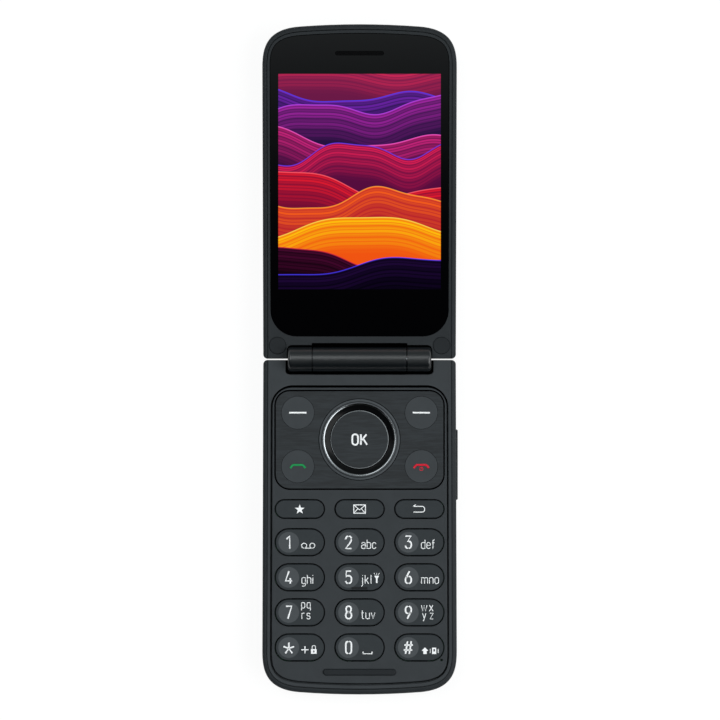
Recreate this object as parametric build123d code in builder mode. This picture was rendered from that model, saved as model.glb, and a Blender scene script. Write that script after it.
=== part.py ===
"""Folding keypad telephone, lying open on its back.

Frame: X across the telephone, +Y from the hinge towards the screen end, +Z out of the screen and the
keys. The origin is on the table under the middle of the hinge axis. Lengths are in millimetres.
"""

from math import asin, cos, sin
import os

from build123d import *

os.makedirs("parts", exist_ok=True)

# Plan outline, the same for the flip and the base
half_length = 100.6  # hinge axis to the far end
half_width_hinge = 28.9
leaf_taper = 0.3  # each half is this much wider at its far end, on either side
leaf_gap = 0.38  # slit between the two halves
end_radius = 240.0  # shallow arc across the far end
end_arc_half = 18.0
corner_reach = 13.0  # how far the corner curve runs down the side
corner_pull_end = 10.0
corner_pull_side = 6.0
corner_pull_loss = 0.55  # pull lost for each millimetre of inset, which keeps outlines parallel
end_inset_ratio = 1.2  # every rim is wider across the far end than along the sides
hinge_corner_radius = 1.35

# Thicknesses and heights
base_thickness = 10.4
flip_thickness = 7.6
closing_gap = 0.8  # between the two faces when shut
base_back_round = 3.0
flip_back_round = 2.4
front_round = 1.15
kissing = 0.02  # working clearance between parts that seat on each other
seam = 0.12  # visible line between two mouldings

# Housings of the base
rim_inset = 1.28
rim_chamfer = 0.15
frame_thickness = 1.8
cover_start = 14.0  # battery cover edge, from the hinge axis
cover_height = 3.0
cover_floor = 1.1
cover_wall = 1.6
cover_clearance = 0.1
inner_floor = 1.3  # underside of the rear housing, inside the cover
board_bottom = 6.9
board_thickness = 0.8
board_inset = 3.7
board_start = 6.2
board_corner = 1.0
cavity_inset = 2.9
cavity_start = 5.9
bay_roof = 0.6

# Hinge
barrel_radius = 3.65
barrel_gap = 0.3
knuckle_side_room = 7.4  # from a knuckle's end to the side of the telephone
knuckle_length = 7.15
knuckle_round = 0.9
knuckle_cap = 1.0
pivot_bore = 2.75
pivot_clearance = 0.05
base_notch_end_gap = 0.55  # beyond the knuckles' ends
base_notch_gap = 0.98  # behind the barrel
flip_notch_end_gap = 0.3
flip_notch_gap = 0.65
flip_notch_centre_gap = 1.25
notch_radius = 1.5
notch_floor_clearance = 0.35
foot_height = 1.8
foot_margin = 0.5
web_bottom = 7.2
web_top = 9.2
spring_unit_start = 2.0
spigot_radius = 1.2
spigot_length = 3.8
bush_bore = 1.9
bush_reach = 5.0  # how far the bush runs into the centre barrel
flex_radius = 1.5
flex_thickness = 0.2
flex_slit = 0.8
flex_length = 17.0
flex_end_gap = 0.45

# Keypad panel and navigation plate
panel_start = 8.1
panel_inset = 2.46
panel_gap = 0.36
panel_thickness = 1.2
panel_corner = 6.2
panel_edge_round = 0.45
panel_ledge = 0.5
panel_shelf_room = 8.2  # depth of the shelf across the far end, under the panel
nav_side_room = 3.5
nav_strip = 1.2  # panel's edge to the plate's recess, towards the hinge
nav_ring_room = 2.75  # ring to the plate's edges
nav_corner = 4.5
nav_gap = 0.36
nav_thickness = 0.75
nav_ledge = 0.9
ring_share = 0.4764  # ring's radius to the plate's half width
ring_shift = 0.1  # ring above the middle of the plate
disc_share = 0.4033  # corner key's radius to the ring's
disc_spread_share = 0.6653  # corner key's distance above or below the ring's middle, to its radius
disc_side_room = 2.0
disc_gap = 0.1
disc_rise = 0.06
disc_flange = 0.5

# Keys
key_gap = 0.34
key_rise = 0.3
key_travel = 0.25
key_side_room = 3.845  # outer keys to the side of the telephone
column_gap = 3.08
key_share = 0.7766  # number key's height to the spacing of its rows
function_height = 5.67
function_row_drop = 5.9  # from the navigation plate
first_row_drop = 9.97  # from the function row
last_row_room = 14.17  # from the far end
key_chamfer = 0.2
flange_thickness = 0.35
flange_overlap = 0.3
flange_drop = 0.1  # under what holds the key in
tab_width = 5.0
key_floor = 8.75
marker_length = 4.7
marker_width = 0.7
marker_rise = 0.2
marker_edge = 0.835  # from the key's lower edge

# Navigation ring and centre key
ring_gap = 0.2
ring_shoulder = 0.1  # height of the ring's outer edge over the plate
ring_rim = 1.3  # from the outer edge to the crest
ring_crest_rise = 0.5
ring_width = 3.2
ring_bore_drop = 0.35
ring_dish = 0.06  # hollow of the slope from the crest to the bore
ring_crest_round = 0.6  # radius along the crest
ring_floor = 8.95
ring_flange = 0.5
ring_flange_thickness = 0.3
ring_relief = 2.1  # from the outer edge to the hollow underneath
ring_relief_height = 9.6
centre_key_gap = 0.2
centre_key_rise = 0.1
centre_key_flange = 0.8
centre_key_flange_drop = 0.35
centre_key_chamfer = 0.2
centre_nub_radius = 1.5
pad_outer_reach = 0.2
pad_inner_reach = 1.8
pad_bottom = 8.3
pad_thickness = 0.35

# Closing bumper and microphone hole
bumper_length = 21.9
bumper_width = 1.9
bumper_end_room = 6.75
bumper_rise = 0.5
bumper_round = 0.4
bumper_depth = 0.8
bumper_gap = 0.12
microphone_side_room = 4.3
microphone_end_room = 10.4
microphone_hole_radius = 0.4
microphone_shift = 0.7  # microphone from its hole
microphone_width = 2.6
microphone_length = 2.0
microphone_height = 0.7

# Key mat and dome sheet
mat_bottom = 8.05
mat_thickness = 0.4
mat_side_room = 4.5
mat_start = 9.8
mat_end_room = 12.0
mat_corner = 3.0
mat_ring_gap = 1.1
dome_film = 0.1
dome_radius = 2.2
dome_height = 0.12
ring_dome_inset = 0.8  # domes from the ring's outer edge
dome_sides = 8

# Battery and its connector
battery_side_room = 5.9
battery_end_room = 14.6
battery_thickness = 4.9
battery_start = 31.0
battery_clearance = 0.3
battery_lift = 0.2
battery_corner = 1.2
connector_x = 12.0
connector_width = 9.0
connector_length = 3.6
connector_height = 4.0
connector_gap = 0.06  # to the battery
pocket_clearance = 0.15

# Audio jack
jack_bore = 1.8
jack_bore_length = 12.0
jack_nose = 2.15
jack_sink = 0.15
jack_y = -20.0
jack_height_z = 5.6
jack_body_length = 9.6
jack_body_width = 6.0
jack_body_height = 4.6

# Charging socket
usb_width = 8.94
usb_height = 3.16
usb_wall = 0.3
usb_length = 7.4
usb_back_wall = 0.6
usb_sink = 0.2
usb_clearance = 0.18
usb_tongue_width = 6.7
usb_tongue_thickness = 0.7
usb_tongue_length = 4.5

# Loudspeaker, motor, card holder, shield, antenna
speaker_length = 14.0
speaker_width = 8.0
speaker_height = 3.0
speaker_socket_room = 3.03
end_parts_room = 8.4  # far end to the middle of the loudspeaker, the shield can and the antenna
speaker_round = 2.0
speaker_slots = 5
speaker_slot_length = 5.0
speaker_slot_width = 0.9
speaker_slot_pitch = 2.4
motor_radius = 5.0
motor_height = 2.8
motor_side_room = 15.9
motor_battery_room = 10.5
card_x = -3.5
card_battery_room = 8.0
card_width = 15.0
card_length = 12.0
card_height = 1.5
card_slot_width = 12.5
card_slot_height = 0.7
shield_socket_room = 2.03
shield_width = 15.0
shield_length = 8.0
shield_height = 1.8
antenna_side_room = 15.9
antenna_width = 16.0
antenna_length = 7.0
antenna_thickness = 0.15
antenna_slot = 1.6

# Screws
screw_head_radius = 1.2
screw_head_height = 0.7
screw_radius = 0.6
screw_length = 3.6
screw_seat = 4.6
boss_radius = 1.1
boss_bottom = 5.4
pilot_margin = 0.2  # pilot hole past the screw's tip
screw_side_room = 3.0
screw_rocker_room = 3.5
screw_jack_room = 6.0
end_screw_side_room = 5.4
end_screw_room = 7.4
flip_screw_length = 4.0

# Volume rocker, on the right-hand side
rocker_length = 21.1
rocker_height = 3.0
rocker_y = -31.65
rocker_centre_z = 6.2
rocker_rise = 0.5
rocker_gap = 0.15
rocker_skin = 1.4
rocker_flange_extra = 0.9
rocker_flange = 0.35
rocker_flange_gap = 0.32
rocker_round = 0.35
switch_board_thickness = 0.5
switch_pocket_depth = 3.45
switch_spread = 7.5
switch_length = 3.0
switch_height = 1.5
switch_gap = 0.18

# Screen side of the flip
lens_inset = 2.2
lens_start = 6.85
lens_corner = 7.9
lens_thickness = 0.85
lens_sink = 0.05
lens_gap = 0.08
lens_chamfer = 0.12
screen_side_room = 4.5
screen_start = 21.0
screen_end_room = 14.9
screen_border = 1.3
screen_thickness = 1.9
earpiece_end_room = 8.75
earpiece_slot_length = 14.7
earpiece_slot_width = 1.35
earpiece_length = 15.0
earpiece_width = 6.0
earpiece_height = 2.3
mesh_thickness = 0.2
mesh_sink = 0.15
screw_cover_radius = 2.6
screw_cover_side_room = 4.3
screw_cover_y = 4.15
screw_cover_depth = 0.8
screw_cover_rise = 0.1
screw_cover_chamfer = 0.2
flip_cavity_inset = 2.9
flip_cavity_start = 8.5
flip_floor = 1.3

# Outer side of the flip
window_width = 33.0
window_length = 26.0
window_end_room = 44.6  # from the far end to the window's middle
window_corner = 2.5
window_thickness = 0.8
window_ledge = 1.2
window_gap = 0.08
outer_screen_thickness = 1.8
flip_board_thickness = 0.6
flip_board_side_room = 6.9
flip_board_start = 12.0
flip_board_end_room = 24.6
camera_end_room = 17.6
camera_size = 8.5
camera_ring_radius = 4.3
camera_ring_rise = 0.6
camera_window_radius = 3.3
camera_window_thickness = 0.6
camera_window_sink = 0.2
camera_barrel_radius = 2.6
flash_x = 10.0
flash_radius = 1.9

# Heights that follow
hinge_z = base_thickness + closing_gap / 2
flip_back_z = base_thickness - flip_thickness
frame_under = base_thickness - frame_thickness
panel_under = base_thickness - panel_thickness
nav_under = base_thickness - nav_thickness
board_seat = board_bottom - kissing
board_top = board_bottom + board_thickness
bay_top = board_seat - bay_roof
notch_floor = hinge_z - barrel_radius - notch_floor_clearance
dome_film_bottom = board_top + kissing
dome_top = dome_film_bottom + dome_film + dome_height
lens_under = base_thickness - lens_sink - lens_thickness
screen_bottom = lens_under - kissing - screen_thickness
flip_floor_top = flip_back_z + flip_floor
outer_screen_bottom = flip_floor_top + kissing
flip_board_bottom = outer_screen_bottom + outer_screen_thickness + kissing
flip_frame_under = flip_board_bottom + flip_board_thickness + kissing
far = 150.0  # longer than the telephone, for cuts that run out of it

# Plan of the hinge that follows from the outline
half_width_far = half_width_hinge + leaf_taper
side_slope = leaf_taper / (half_length - corner_reach)
knuckle_end = half_width_hinge - knuckle_side_room
knuckle_start = knuckle_end - knuckle_length
knuckle_bore_end = knuckle_end - knuckle_cap
barrel_half = knuckle_start - barrel_gap
base_notch_half = knuckle_end + base_notch_end_gap
base_notch_depth = barrel_radius + base_notch_gap
flip_notch_half = knuckle_end + flip_notch_end_gap
flip_notch_depth = barrel_radius + flip_notch_gap
flip_notch_centre_depth = barrel_radius + flip_notch_centre_gap

# Plan of the keypad that follows
nav_half_width = half_width_hinge - nav_side_room
ring_radius = ring_share * nav_half_width
nav_top = panel_start + nav_strip
nav_bottom = nav_top + 2 * (ring_radius + nav_ring_room)
nav_mid_y = -(nav_top + nav_bottom) / 2
nav_centre_y = nav_mid_y + ring_shift
disc_radius = disc_share * ring_radius
disc_spread = disc_spread_share * ring_radius
disc_x = nav_half_width - disc_side_room - disc_radius
ring_crest_radius = ring_radius - ring_rim
ring_bore = ring_radius - ring_width
ring_relief_radius = ring_radius - ring_relief
pad_outer = ring_radius + pad_outer_reach
pad_inner = ring_radius - pad_inner_reach
column_pitch = (2 * (half_width_far - key_side_room) + column_gap) / 3
key_width = column_pitch - column_gap
function_row_y = -nav_bottom - function_row_drop
first_row_y = function_row_y - first_row_drop
row_pitch = (half_length - last_row_room + first_row_y) / 3
key_height = key_share * row_pitch
keys_mid_y = first_row_y - 1.5 * row_pitch
marker_drop = key_height / 2 - marker_edge
bumper_y = bumper_end_room - half_length
microphone_hole_x = half_width_hinge - microphone_side_room
microphone_x = microphone_hole_x - microphone_shift
microphone_y = microphone_end_room - half_length
mat_half_width = half_width_hinge - mat_side_room
mat_end = half_length - mat_end_room
mat_mid_y = -(mat_start + mat_end) / 2
mat_nav_hole = ring_radius + mat_ring_gap
ring_dome_radius = ring_radius - ring_dome_inset

# Plan of the inner parts of the base that follows
battery_width = 2 * (half_width_hinge - battery_side_room)
battery_length = half_length - battery_start - battery_end_room
bay_centre_y = -battery_start - battery_length / 2
connector_y = -battery_start + connector_gap + connector_length / 2
card_y = card_battery_room - battery_start
motor_x = half_width_hinge - motor_side_room
motor_y = motor_battery_room - battery_start
end_parts_y = end_parts_room - half_length
speaker_x = -(usb_width + speaker_length) / 2 - speaker_socket_room
shield_x = (usb_width + shield_width) / 2 + shield_socket_room
antenna_x = half_width_hinge - antenna_side_room
side_screw_x = half_width_hinge - screw_side_room
end_screw_x = half_width_hinge - end_screw_side_room
end_screw_y = end_screw_room - half_length
screw_places = (
    (side_screw_x, rocker_y + rocker_length / 2 + screw_rocker_room),
    (-side_screw_x, jack_y - screw_jack_room),
    (-end_screw_x, end_screw_y),
    (end_screw_x, end_screw_y),
)

# Plan of the flip that follows
screen_width = 2 * (half_width_hinge - screen_side_room)
screen_height = half_length - screen_start - screen_end_room
screen_y = screen_start + screen_height / 2
screen_breadth = screen_width + 2 * screen_border
screen_length = screen_height + 2 * screen_border
earpiece_y = half_length - earpiece_end_room
screw_cover_x = half_width_hinge - screw_cover_side_room
window_y = half_length - window_end_room
flip_board_half_width = half_width_hinge - flip_board_side_room
flip_board_end = half_length - flip_board_end_room
camera_y = half_length - camera_end_room


def side_x(distance):
    """Half width of the outline at a distance from the hinge axis."""
    return half_width_hinge + side_slope * distance


def leaf_outline(side, inset=0.0, start=leaf_gap / 2):
    """Edges of one half's plan outline, drawn in the open line context.

    side is +1 for the flip and -1 for the base, inset moves the sides and the far end inwards, and start
    is where the hinge end of the outline lies, measured from the hinge axis.
    """
    turn = asin(end_arc_half / end_radius)
    end_inset = inset * end_inset_ratio
    arc_radius = end_radius - end_inset
    arc_centre = half_length - end_radius
    shoulder = (half_width_far - inset, half_length - corner_reach)
    crown = (arc_radius * sin(turn), arc_centre + arc_radius * cos(turn))
    pull_side = corner_pull_side - corner_pull_loss * inset
    pull_end = corner_pull_end - corner_pull_loss * inset
    side_hold = (shoulder[0] + side_slope * pull_side, shoulder[1] + pull_side)
    end_hold = (crown[0] + pull_end * cos(turn), crown[1] - pull_end * sin(turn))
    heel = (side_x(start) - inset, start)

    def right(point):
        return (point[0], side * point[1])

    def left(point):
        return (-point[0], side * point[1])

    Line(left(heel), right(heel))
    Line(right(heel), right(shoulder))
    Bezier(right(shoulder), right(side_hold), right(end_hold), right(crown))
    ThreePointArc(right(crown), (0, side * (half_length - end_inset)), left(crown))
    Bezier(left(crown), left(end_hold), left(side_hold), left(shoulder))
    Line(left(shoulder), left(heel))


def leaf_block(side, low, high, inset=0.0, start=leaf_gap / 2, corner=0.0):
    """Prism of the plan outline from one height to another, with its hinge-end corners rounded."""
    with BuildPart() as block:
        with BuildSketch(Plane.XY.offset(low)) as plan:
            with BuildLine():
                leaf_outline(side, inset, start)
            make_face()
            if corner:
                fillet(plan.vertices().group_by(Axis.Y)[0 if side > 0 else -1], corner)
        extrude(amount=high - low)
    return block.part


def leaf_body(side, low, back_round):
    """Outer form of one half: rounded back and front edges, small corners at the hinge end."""
    with BuildPart() as body:
        add(leaf_block(side, low, base_thickness))
        hinge_edges = body.faces().sort_by(Axis.Y)[0 if side > 0 else -1].edges()
        fillet(body.edges().group_by(Axis.Z)[0].filter_by(lambda edge: edge not in hinge_edges), back_round)
        hinge_edges = body.faces().sort_by(Axis.Y)[0 if side > 0 else -1].edges()
        fillet(body.edges().group_by(Axis.Z)[-1].filter_by(lambda edge: edge not in hinge_edges), front_round)
        add(leaf_block(side, low, base_thickness, corner=hinge_corner_radius), mode=Mode.INTERSECT)
    return body.part


def block(x, y, low, width, length, height, mode=Mode.ADD):
    """Adds an upright box to the open part or cuts it, width across, length along, standing on low."""
    with Locations((x, y, low)):
        Box(width, length, height, align=(Align.CENTER, Align.CENTER, Align.MIN), mode=mode)


def post(x, y, low, radius, height, mode=Mode.ADD):
    """Adds an upright cylinder to the open part or cuts it, standing on low."""
    with Locations((x, y, low)):
        Cylinder(radius, height, align=(Align.CENTER, Align.CENTER, Align.MIN), mode=mode)


def roll(start, end, radius, mode=Mode.ADD):
    """Adds a cylinder on the hinge axis to the open part or cuts it."""
    with Locations(((start + end) / 2, 0, hinge_z)):
        Cylinder(radius, abs(end - start), rotation=(0, 90, 0), mode=mode)


def rounded_block(y, low, width, length, height, radius):
    """Upright block with rounded corners, centred across the telephone."""
    with BuildPart() as rounded:
        with BuildSketch(Plane.XY.offset(low)):
            with Locations((0, y)):
                RectangleRounded(width, length, radius)
        extrude(amount=height)
    return rounded.part


def slot_block(x, y, low, length, width, height):
    """Upright block with half-round ends, its length across the telephone."""
    with BuildPart() as slotted:
        with BuildSketch(Plane((x, y, low))):
            SlotOverall(length, width)
        extrude(amount=height)
    return slotted.part


def notch(side, half, depth, low):
    """Cut across the hinge end that the barrel lies in."""
    with BuildPart() as cut:
        with BuildSketch(Plane.XY.offset(low)) as plan:
            with Locations((0, side * (depth - far) / 2)):
                Rectangle(2 * half, depth + far)
            fillet(plan.vertices().group_by(Axis.Y)[-1 if side > 0 else 0], notch_radius)
        extrude(amount=far)
    return cut.part


def save(piece, name):
    """Labels a finished piece and writes it to its own file."""
    piece.part.label = name
    export_step(piece.part, f"parts/{name}.step")


base_body = leaf_body(-1, 0.0, base_back_round)
flip_body = leaf_body(1, flip_back_z, flip_back_round)
base_notch = notch(-1, base_notch_half, base_notch_depth, notch_floor)

# Where the side fittings meet the wall of the base
jack_wall_x = -side_x(-jack_y)
rocker_wall_x = side_x(-rocker_y)
usb_centre_z = board_bottom - kissing - usb_height / 2
usb_mouth_y = -half_length + usb_sink
usb_centre_y = usb_mouth_y + usb_length / 2
jack_body_x = jack_wall_x + cavity_inset + jack_body_length / 2

# Battery cover
with BuildPart() as battery_cover:
    add(base_body)
    split(bisect_by=Plane.XY.offset(cover_height), keep=Keep.BOTTOM)
    split(bisect_by=Plane.XZ.offset(cover_start + seam), keep=Keep.TOP)
    add(
        leaf_block(-1, cover_floor, far, cover_wall, cover_start + seam + cover_wall),
        mode=Mode.SUBTRACT,
    )
    with Locations((speaker_x, end_parts_y, cover_floor / 2)):
        with GridLocations(speaker_slot_pitch, 0, speaker_slots, 1):
            Box(speaker_slot_width, speaker_slot_length, far, mode=Mode.SUBTRACT)
save(battery_cover, "battery_cover")

# Rear housing of the base
tongue_inset = cover_wall + cover_clearance
with BuildPart() as base_rear_housing:
    add(base_body)
    block(0, -cover_start - far / 2, -far, far, far, far + cover_height + kissing, Mode.SUBTRACT)
    add(leaf_block(-1, inner_floor, board_bottom, tongue_inset, cover_start + seam + tongue_inset))
    add(leaf_block(-1, frame_under - kissing, far, rim_inset, -leaf_gap), mode=Mode.SUBTRACT)
    add(leaf_block(-1, board_seat, far, cavity_inset, cavity_start, board_corner), mode=Mode.SUBTRACT)
    add(base_notch, mode=Mode.SUBTRACT)
    add(
        rounded_block(
            bay_centre_y,
            -far,
            battery_width + 2 * battery_clearance,
            battery_length + 2 * battery_clearance,
            far + bay_top,
            battery_corner,
        ),
        mode=Mode.SUBTRACT,
    )
    # card holder window, loudspeaker pocket, motor pocket, shield pocket, connector pocket
    block(
        card_x,
        card_y,
        0,
        card_width + 2 * pocket_clearance,
        card_length + 2 * pocket_clearance,
        far,
        Mode.SUBTRACT,
    )
    block(
        speaker_x,
        end_parts_y,
        -far,
        speaker_length + 2 * pocket_clearance,
        speaker_width + 2 * pocket_clearance,
        far + inner_floor + speaker_height + 2 * kissing,
        Mode.SUBTRACT,
    )
    post(
        motor_x,
        motor_y,
        board_seat - motor_height - 2 * kissing,
        motor_radius + pocket_clearance,
        far,
        Mode.SUBTRACT,
    )
    block(
        shield_x,
        end_parts_y,
        board_bottom - shield_height - 2 * kissing,
        shield_width + 2 * pocket_clearance,
        shield_length + 2 * pocket_clearance,
        far,
        Mode.SUBTRACT,
    )
    block(
        connector_x,
        connector_y,
        board_bottom - connector_height - pocket_clearance,
        connector_width + 2 * pocket_clearance,
        connector_length + 2 * pocket_clearance,
        far,
        Mode.SUBTRACT,
    )
    # audio jack pocket and its hole in the wall
    block(
        jack_body_x,
        jack_y,
        jack_height_z - jack_body_height / 2 - kissing,
        jack_body_length + 2 * kissing,
        jack_body_width + 2 * kissing,
        far,
        Mode.SUBTRACT,
    )
    with Locations((jack_wall_x, jack_y, jack_height_z)):
        Cylinder(jack_nose + pivot_clearance, 2 * cavity_inset, rotation=(0, 90, 0), mode=Mode.SUBTRACT)
    # charging socket pocket and its mouth
    block(
        0,
        usb_centre_y,
        usb_centre_z - usb_height / 2 - kissing,
        usb_width + 2 * kissing,
        usb_length + 2 * kissing,
        usb_height + 2 * kissing,
        Mode.SUBTRACT,
    )
    with BuildSketch(Plane.XZ.offset(-usb_centre_y)):
        with Locations((0, usb_centre_z)):
            SlotOverall(usb_width + 2 * usb_clearance, usb_height + 2 * usb_clearance)
    extrude(amount=usb_length, mode=Mode.SUBTRACT)
    # volume rocker slot and the pocket for its switches
    with Locations((rocker_wall_x, rocker_y, rocker_centre_z)):
        Box(
            2 * (rocker_skin + kissing),
            rocker_length + 2 * rocker_gap,
            rocker_height + 2 * rocker_gap,
            mode=Mode.SUBTRACT,
        )
    block(
        rocker_wall_x - (switch_pocket_depth + rocker_skin) / 2,
        rocker_y,
        rocker_centre_z - rocker_height / 2 - 2 * rocker_gap - rocker_flange_extra,
        switch_pocket_depth - rocker_skin,
        rocker_length + 2 * rocker_flange_extra + 4 * rocker_gap,
        far,
        Mode.SUBTRACT,
    )
    for x, y in screw_places:
        post(x, y, -far, screw_head_radius + pocket_clearance, far + screw_seat, Mode.SUBTRACT)
        post(x, y, 0, screw_radius + pocket_clearance, far, Mode.SUBTRACT)
        post(x, y, boss_bottom - kissing, boss_radius + kissing, far, Mode.SUBTRACT)
save(base_rear_housing, "base_rear_housing")

# Front housing of the base
with BuildPart() as base_front_housing:
    add(leaf_block(-1, frame_under, base_thickness, rim_inset + seam, corner=rim_chamfer))
    chamfer(base_front_housing.edges().group_by(Axis.Z)[-1], rim_chamfer)
    add(base_notch, mode=Mode.SUBTRACT)
    add(
        leaf_block(
            -1,
            panel_under - kissing,
            far,
            panel_inset - panel_gap / 2,
            panel_start - panel_gap / 2,
            panel_corner + panel_gap / 2,
        ),
        mode=Mode.SUBTRACT,
    )
    with BuildPart(mode=Mode.PRIVATE) as opening:
        add(leaf_block(-1, 0, far, panel_inset + panel_ledge, panel_start + panel_ledge, panel_corner))
        block(0, panel_shelf_room - half_length - far / 2, -far, far, far, 3 * far, Mode.SUBTRACT)
    add(opening.part, mode=Mode.SUBTRACT)
    for x, y in screw_places:
        post(x, y, boss_bottom, boss_radius, panel_under - kissing - boss_bottom)
        post(x, y, 0, screw_radius + kissing, screw_seat + screw_length + pilot_margin, Mode.SUBTRACT)
save(base_front_housing, "base_front_housing")

# Keypad panel
with BuildPart() as keypad_panel:
    add(
        leaf_block(
            -1,
            panel_under,
            base_thickness,
            panel_inset + panel_gap / 2,
            panel_start + panel_gap / 2,
            panel_corner - panel_gap / 2,
        )
    )
    fillet(keypad_panel.edges().group_by(Axis.Z)[-1], panel_edge_round)
    with BuildSketch(Plane.XY.offset(base_thickness)):
        with Locations((0, keys_mid_y)):
            with GridLocations(column_pitch, row_pitch, 3, 4):
                SlotOverall(key_width + key_gap, key_height + key_gap)
        with Locations((0, function_row_y)):
            with GridLocations(column_pitch, 0, 3, 1):
                SlotOverall(key_width + key_gap, function_height + key_gap)
    extrude(amount=-panel_thickness, mode=Mode.SUBTRACT)
    add(
        rounded_block(
            nav_mid_y,
            nav_under - kissing,
            2 * nav_half_width + nav_gap,
            nav_bottom - nav_top + nav_gap,
            far,
            nav_corner + nav_gap / 2,
        ),
        mode=Mode.SUBTRACT,
    )
    add(
        rounded_block(
            nav_mid_y,
            0,
            2 * (nav_half_width - nav_ledge),
            nav_bottom - nav_top - 2 * nav_ledge,
            far,
            nav_corner - nav_ledge,
        ),
        mode=Mode.SUBTRACT,
    )
    add(
        slot_block(
            0,
            bumper_y,
            base_thickness - bumper_depth - kissing,
            bumper_length + bumper_gap,
            bumper_width + bumper_gap,
            far,
        ),
        mode=Mode.SUBTRACT,
    )
    post(microphone_hole_x, microphone_y, 0, microphone_hole_radius, far, Mode.SUBTRACT)
save(keypad_panel, "keypad_panel")

# Navigation plate
corner_key_places = {
    "left_soft_key": (-disc_x, nav_centre_y + disc_spread),
    "right_soft_key": (disc_x, nav_centre_y + disc_spread),
    "call_key": (-disc_x, nav_centre_y - disc_spread),
    "end_key": (disc_x, nav_centre_y - disc_spread),
}
with BuildPart() as nav_plate:
    add(
        rounded_block(
            nav_mid_y,
            nav_under,
            2 * nav_half_width - nav_gap,
            nav_bottom - nav_top - nav_gap,
            nav_thickness,
            nav_corner - nav_gap / 2,
        )
    )
    chamfer(nav_plate.edges().group_by(Axis.Z)[-1], rim_chamfer)
    for x, y in corner_key_places.values():
        post(x, y, 0, disc_radius + disc_gap, far, Mode.SUBTRACT)
    post(0, nav_centre_y, 0, ring_radius + ring_gap, far, Mode.SUBTRACT)
save(nav_plate, "nav_plate")


def key_cap(name, x, y, width, height, marked=False):
    """Pill-shaped key with a tab above and below that holds it under the panel."""
    tab_length = height - key_gap + 2 * (key_gap + flange_overlap)
    with BuildPart() as key:
        with BuildSketch(Plane((x, y, key_floor))):
            SlotOverall(width - key_gap, height - key_gap)
        extrude(amount=base_thickness + key_rise - key_floor)
        chamfer(key.edges().group_by(Axis.Z)[-1], key_chamfer)
        if marked:
            block(
                x,
                y - marker_drop,
                key_floor,
                marker_length,
                marker_width,
                base_thickness + key_rise + marker_rise - key_floor,
            )
        tab_low = panel_under - flange_drop - flange_thickness
        block(x, y, tab_low, tab_width, tab_length, flange_thickness)
    save(key, name)


key_rows = (
    ("key_1", "key_2", "key_3"),
    ("key_4", "key_5", "key_6"),
    ("key_7", "key_8", "key_9"),
    ("key_star", "key_0", "key_hash"),
)
key_places = {}
for row, names in enumerate(key_rows):
    for column, name in enumerate(names):
        key_places[name] = ((column - 1) * column_pitch, first_row_y - row * row_pitch)
for name, (x, y) in key_places.items():
    key_cap(name, x, y, key_width, key_height, marked=name == "key_5")
for column, name in enumerate(("favourites_key", "message_key", "return_key")):
    key_places[name] = ((column - 1) * column_pitch, function_row_y)
    key_cap(name, *key_places[name], key_width, function_height)

# Corner keys of the navigation plate
for name, (x, y) in corner_key_places.items():
    key_places[name] = (x, y)
    with BuildPart() as corner_key:
        post(x, y, key_floor, disc_radius, base_thickness + disc_rise - key_floor)
        flange_low = nav_under - flange_drop - flange_thickness
        post(x, y, flange_low, disc_radius + disc_flange, flange_thickness)
    save(corner_key, name)

# Navigation ring
ring_top = base_thickness + ring_crest_rise
bore_lip = base_thickness - ring_bore_drop
with BuildPart() as nav_ring:
    with BuildSketch(Plane.XZ.offset(-nav_centre_y)):
        with BuildLine():
            Polyline(
                (ring_bore, bore_lip),
                (ring_bore, ring_relief_height),
                (ring_relief_radius, ring_relief_height),
                (ring_relief_radius, ring_floor),
                (ring_radius + ring_flange, ring_floor),
                (ring_radius + ring_flange, ring_floor + ring_flange_thickness),
                (ring_radius, ring_floor + ring_flange_thickness),
                (ring_radius, base_thickness + ring_shoulder),
            )
            Line((ring_radius, base_thickness + ring_shoulder), (ring_crest_radius, ring_top))
            ThreePointArc(
                (ring_crest_radius, ring_top),
                ((ring_crest_radius + ring_bore) / 2, (ring_top + bore_lip) / 2 - ring_dish),
                (ring_bore, bore_lip),
            )
        make_face()
    revolve(axis=Axis((0, nav_centre_y, 0), (0, 0, 1)))
    fillet(nav_ring.edges().filter_by(GeomType.CIRCLE).group_by(Axis.Z)[-1], ring_crest_round)
save(nav_ring, "nav_ring")

# Rubber ring under it
with BuildPart() as nav_ring_pad:
    post(0, nav_centre_y, pad_bottom, pad_outer, pad_thickness)
    post(0, nav_centre_y, pad_bottom, pad_inner, pad_thickness, Mode.SUBTRACT)
save(nav_ring_pad, "nav_ring_pad")

# Centre key
centre_flange_top = ring_relief_height - centre_key_flange_drop
with BuildPart() as ok_key:
    centre_low = centre_flange_top - flange_thickness
    centre_radius = ring_bore - centre_key_gap
    post(0, nav_centre_y, centre_low, centre_radius, base_thickness + centre_key_rise - centre_low)
    chamfer(ok_key.edges().group_by(Axis.Z)[-1], centre_key_chamfer)
    post(0, nav_centre_y, centre_low, centre_radius + centre_key_flange, flange_thickness)
    nub_low = dome_top + key_travel + kissing
    post(0, nav_centre_y, nub_low, centre_nub_radius, centre_low - nub_low)
save(ok_key, "ok_key")

# Closing bumper
with BuildPart() as closing_bumper:
    add(
        slot_block(
            0,
            bumper_y,
            base_thickness - bumper_depth,
            bumper_length,
            bumper_width,
            bumper_depth + bumper_rise,
        )
    )
    fillet(closing_bumper.edges().group_by(Axis.Z)[-1], bumper_round)
save(closing_bumper, "closing_bumper")

# Key mat
with BuildPart() as key_mat:
    add(
        rounded_block(
            mat_mid_y,
            mat_bottom,
            2 * mat_half_width,
            mat_end - mat_start,
            mat_thickness,
            mat_corner,
        )
    )
    post(0, nav_centre_y, 0, mat_nav_hole, far, Mode.SUBTRACT)
save(key_mat, "key_mat")

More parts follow.
